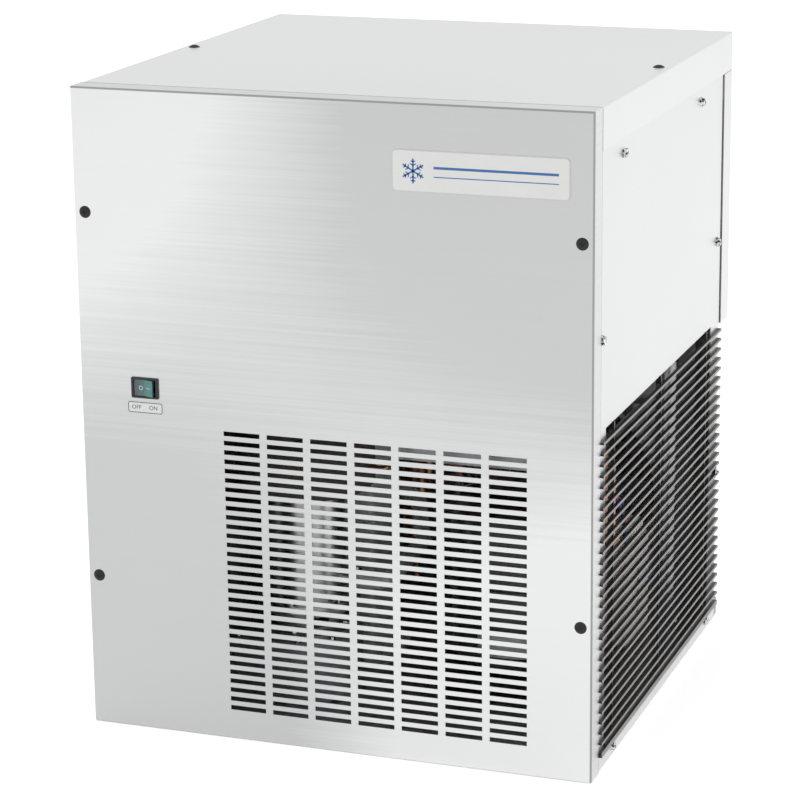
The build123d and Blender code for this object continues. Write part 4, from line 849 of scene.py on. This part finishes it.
shape = bmesh.new()
look = louvreFeet
inner, toe = look["inner"], look["toe"]
for number in range(look["count"]):
    level = look["firstLevel"] + number * look["pitch"]
    low = level - look["below"]
    for rib in look["ribs"]:
        front = rib - look["ribHalf"]
        slab(shape, (inner, front - look["thick"], low), (look["outer"], front, level + look["above"]))
        toeFront = front - look["toeShare"] * look["thick"]
        slab(shape, (inner, toeFront, low), (inner + toe[0], front, low + toe[1]))
addPiece("louvre_feet", shape, "rubbedPlastic")
print("louvre feet made")

# gearbox, adapter and barrel bolts, foam straps

barrelAxis = middleOf("ice_head").to_2d()
motorAxis = Vector((middleOf("drive_motor").x, barrelAxis.y))
lidTop = corners("gearbox_lid")[1].z

lidBolts = {
    "bolt": (0.005, 0.0042), "radius": 0.0554, "motorEnd": (98, 139, 180, 221, 262),
    "barrelEnd": (-82, -41, 0, 41, 82), "sides": (-90, 90), "between": (-0.1880, -0.1554, -0.1228),
}

shape = bmesh.new()
look = lidBolts
boltCircle(shape, motorAxis, look["radius"], lidTop, look["motorEnd"], look["bolt"])
boltCircle(shape, barrelAxis, look["radius"], lidTop, look["barrelEnd"], look["bolt"])
for x in look["between"]:
    boltCircle(shape, (x, barrelAxis.y), look["radius"], lidTop, look["sides"], look["bolt"])
addPiece("lid_bolts", shape, "zincScrew")

barrelBolts = {"bolt": (0.007, 0.0055), "foot": 0.006, "flange": 0.008}
barrelCircles = [
    # radius, level, angles, heads up
    (0.0505, corners("drive_adapter")[1].z + barrelBolts["flange"], range(30, 360, 60), True),
    (0.0440, lidTop + barrelBolts["foot"], range(0, 360, 90), True),
    (0.0493, corners("ice_head")[0].z - barrelBolts["flange"], range(30, 360, 60), False),
]

shape = bmesh.new()
for radius, level, angles, up in barrelCircles:
    boltCircle(shape, barrelAxis, radius, level, angles, barrelBolts["bolt"], up)
addPiece("barrel_bolts", shape, "zincScrew")

foamStraps = {
    "levels": (0.300, 0.372), "inner": 0.0759, "outer": 0.0768, "half": 0.006,
    "buckleLong": 0.011, "buckleProud": 0.0016, "buckleMargin": 0.002, "buckleAt": -75.0,
}

shape = bmesh.new()
look = foamStraps
half, margin = look["half"], look["half"] + look["buckleMargin"]
for level in look["levels"]:
    centre = Matrix.Translation((*barrelAxis, level))
    hoop(shape, band(look["inner"], look["outer"], -half, half), centre, 64)
    hoop(
        shape, band(look["inner"], look["outer"] + look["buckleProud"], -margin, margin), centre, 4,
        math.radians(look["buckleAt"]), look["buckleLong"] / look["outer"],
    )
addPiece("foam_straps", shape, "rubber")
print("drive and barrel details made")

# hoses: worm-drive clamps at their ends, thread on the inlet, barbs on the drain spigot

hoseClamps = [
    # place of the middle, axis, hose radius, turn of the screw housing
    ((-0.2250, 0.1925, 0.1300), rearward, 0.0070, 0.4),
    ((-0.2450, 0.1577, 0.3310), upward, 0.0090, 2.6),
    ((-0.2450, 0.1977, 0.3300), upward, 0.0100, 3.4),
    ((-0.0395, -0.1143, 0.1320), (1, 0, 0), 0.0090, 1.2),
    ((-0.1700, 0.2325, 0.0600), rearward, 0.0100, 5.2),
]
clampForm = {
    "thick": 0.0008, "half": 0.0040, "sunk": 0.0002, "housing": (0.0060, 0.0045, 0.0036),
    "screw": (0.0038, 0.0028), "screwShare": 0.6,
}

shape = bmesh.new()
look = clampForm
long, wide, tall = look["housing"]
for middle, axis, radius, turn in hoseClamps:
    place = facing(middle, axis, turn)
    outer = radius + look["thick"]
    hoop(shape, band(radius - look["sunk"], outer, -look["half"], look["half"]), place)
    slab(shape, (radius, -long, -wide), (outer + tall, long, wide), place)
    screwFoot = Matrix.Translation((radius + tall * look["screwShare"], long, 0))
    hexBolt(shape, place @ screwFoot @ Matrix.Rotation(-math.pi / 2, 4, "X"), *look["screw"])
addPiece("hose_clamps", shape, "zincScrew")

inletThread = {
    "place": (-0.2250, 0.2527, 0.1300), "inner": 0.0130, "outer": 0.0140, "pitch": 0.0019,
    "crest": 0.00095, "foot": 0.0019, "count": 9, "sides": 48,
}
spigotBarbs = {
    "place": (-0.1700, 0.2560, 0.0600), "inner": 0.0079, "outer": 0.0086, "pitch": 0.0052,
    "crest": 0.0006, "foot": 0.00416, "count": 4, "sides": 40,
}


def addRidges(name, look, finishName):
    # rings of three-cornered section, one behind the other towards the rear
    shape = bmesh.new()
    for number in range(look["count"]):
        low = number * look["pitch"]
        section = [
            (look["inner"], low), (look["outer"], low + look["crest"]), (look["inner"], low + look["foot"]),
        ]
        hoop(shape, section, facing(look["place"], rearward), look["sides"])
    addPiece(name, shape, finishName)


addRidges("inlet_thread", inletThread, "brass")
addRidges("drain_barbs", spigotBarbs, "fittingBlack")
print("hose and water details made")

# refrigeration: thin fins between the thick ones, bare tag, connector and relay

thinFins = {
    "left": -0.00450, "right": 0.22450, "front": 0.1802, "rear": 0.2352, "low": 0.0300, "high": 0.3180,
    "thick": 0.00012, "gaps": 32, "each": 3,
}

shape = bmesh.new()
look = thinFins
spacing = (look["right"] - look["left"]) / look["gaps"]
thick = look["thick"]
for gap in range(look["gaps"]):
    for number in range(look["each"]):
        x = look["left"] + spacing * (gap + (number + 1) / (look["each"] + 1))
        slab(shape, (x - thick, look["front"], look["low"]), (x + thick, look["rear"], look["high"]))
addPiece("condenser_thin_fins", shape, "finAluminium")

compressorTag = {
    "centre": (0.130, -0.0313), "radius": 0.0820, "thick": 0.0006, "low": 0.059, "high": 0.083,
    "from": -111.0, "sweep": 42.0, "rivetShares": (0.06, 0.94),
    "rivet": [(0.0016, 0.0), (0.00144, 0.0005), (0.00064, 0.0009)],
}

shape = bmesh.new()
look = compressorTag
axis = Vector((*look["centre"], 0.0))
radius = look["radius"] + look["thick"]
hoop(
    shape, band(look["radius"], radius, look["low"], look["high"]), Matrix.Translation(axis), 24,
    math.radians(look["from"]), math.radians(look["sweep"]),
)
for share in look["rivetShares"]:
    angle = math.radians(look["from"] + share * look["sweep"])
    spot = axis + onCircle(radius, angle, (look["low"] + look["high"]) / 2)
    turnedSolid(shape, look["rivet"], facing(spot, onCircle(1.0, angle, 0.0)), 12)
addPiece("compressor_tag", shape, "tagMetal")

leadConnector = {
    "low": (0.2220, 0.0020, 0.1720), "high": (0.2440, 0.0400, 0.1850), "ways": 4, "sunk": 0.0002,
    "faceHalf": 0.0032, "faceProud": 0.0022, "faceMargin": 0.003,
    "topHalf": 0.0028, "topProud": 0.0018, "topMargin": 0.004,
}

shape = bmesh.new()
look = leadConnector
low, high = Vector(look["low"]), Vector(look["high"])
slab(shape, low, high)
step = (high.y - low.y) / look["ways"]
for way in range(look["ways"]):
    y = low.y + (way + 0.5) * step
    slab(
        shape, (high.x - look["sunk"], y - look["faceHalf"], low.z + look["faceMargin"]),
        (high.x + look["faceProud"], y + look["faceHalf"], high.z - look["faceMargin"]),
    )
    slab(
        shape, (low.x + look["topMargin"], y - look["topHalf"], high.z - look["sunk"]),
        (high.x - look["topMargin"], y + look["topHalf"], high.z + look["topProud"]),
    )
addPiece("lead_connector", shape, "paleNylon", soften=0.0005)

overloadRelay = {
    "low": (0.2200, 0.0447, 0.1000), "high": (0.2480, 0.0620, 0.1380), "capMargin": (0.004, 0.006),
    "capProud": 0.0030, "capSunk": 0.0002, "blade": (0.0063, 0.0008, 0.0075),
    "bladesX": (0.2270, 0.2410), "bladeY": 0.0530, "bladeSunk": 0.0005,
}

shape = bmesh.new()
look = overloadRelay
low, high = Vector(look["low"]), Vector(look["high"])
marginX, marginZ = look["capMargin"]
slab(shape, low, high)
slab(
    shape, (low.x + marginX, high.y - look["capSunk"], low.z + marginZ),
    (high.x - marginX, high.y + look["capProud"], high.z - marginZ),
)
addPiece("overload_relay", shape, "blueNylon", soften=0.0009)

shape = bmesh.new()
wide, thick, long = look["blade"]
for x in look["bladesX"]:
    slab(
        shape, (x - wide / 2, look["bladeY"], high.z - look["bladeSunk"]),
        (x + wide / 2, look["bladeY"] + thick, high.z + long),
    )
addPiece("relay_blades", shape, "brass", soften=0.0002)
print("refrigeration details made")

# electrical box: grommets, ties, terminal screws, sleeves on the switch

grommets = {
    "xs": (0.120, 0.200), "y": -0.2213, "sides": 32,
    "section": [
        (0.0050, -0.0026), (0.0108, -0.0026), (0.0118, -0.0016), (0.0118, -0.0001), (0.0088, -0.0001),
        (0.0088, 0.0016), (0.0118, 0.0016), (0.0118, 0.0030), (0.0108, 0.0040), (0.0050, 0.0040),
    ],
}

shape = bmesh.new()
look = grommets
boxFloor = corners("control_box")[0].z
for x in look["xs"]:
    hoop(shape, look["section"], Matrix.Translation((x, look["y"], boxFloor)), look["sides"])
addPiece("box_grommets", shape, "rubber")

wireTies = {
    "levels": (0.300, 0.312), "inner": 0.0058, "outer": 0.0068, "half": 0.0012, "sides": 28,
    "headProud": 0.0026, "head": (0.0022, 0.0024), "tailLong": 0.0090, "tailHalf": 0.0005,
}

shape = bmesh.new()
look = wireTies
inner, outer, half = look["inner"], look["outer"], look["half"]
headY, headZ = look["head"]
for level in look["levels"]:
    centre = Matrix.Translation((grommets["xs"][1], grommets["y"], level))
    hoop(shape, band(inner, outer, -half, half), centre, look["sides"])
    slab(shape, (inner, -headY, -headZ), (outer + look["headProud"], headY, headZ), centre)
    slab(shape, (outer, -half, -look["tailHalf"]), (outer + look["tailLong"], half, look["tailHalf"]), centre)
addPiece("wire_ties", shape, "paleNylon", soften=0.0002)

contactorScrews = {
    "edge": 0.010, "pitch": 0.015, "columns": 3, "floor": -0.2038, "sides": 18,
    "profile": [(0.0034, 0.0), (0.0034, 0.0012), (0.00272, 0.0022)],
}

shape = bmesh.new()
look = contactorScrews
low, high = corners("contactor")
for column in range(look["columns"]):
    x = low.x + look["edge"] + column * look["pitch"]
    for z in (low.z + look["edge"], high.z - look["edge"]):
        turnedSolid(shape, look["profile"], facing((x, look["floor"], z), frontward), look["sides"])
addPiece("contactor_screws", shape, "zincScrew")

switchSleeves = {
    "offsets": (-0.007, 0.0, 0.007), "front": -0.2560, "rear": -0.2430, "half": (0.0026, 0.0042),
    "crimp": [(0.0021, 0.0), (0.0021, 0.0050), (0.0017, 0.0056)], "crimpSunk": 0.0004, "sides": 16,
}

shape = bmesh.new()
look = switchSleeves
halfX, halfZ = look["half"]
for offset in look["offsets"]:
    x, z = switchMiddle.x + offset, switchMiddle.z
    slab(shape, (x - halfX, look["front"], z - halfZ), (x + halfX, look["rear"], z + halfZ))
    crimpPlace = facing((x, look["rear"] - look["crimpSunk"], z), rearward)
    turnedSolid(shape, look["crimp"], crimpPlace, look["sides"])
addPiece("switch_sleeves", shape, "paleNylon", soften=0.0006)
print("electrical details made")
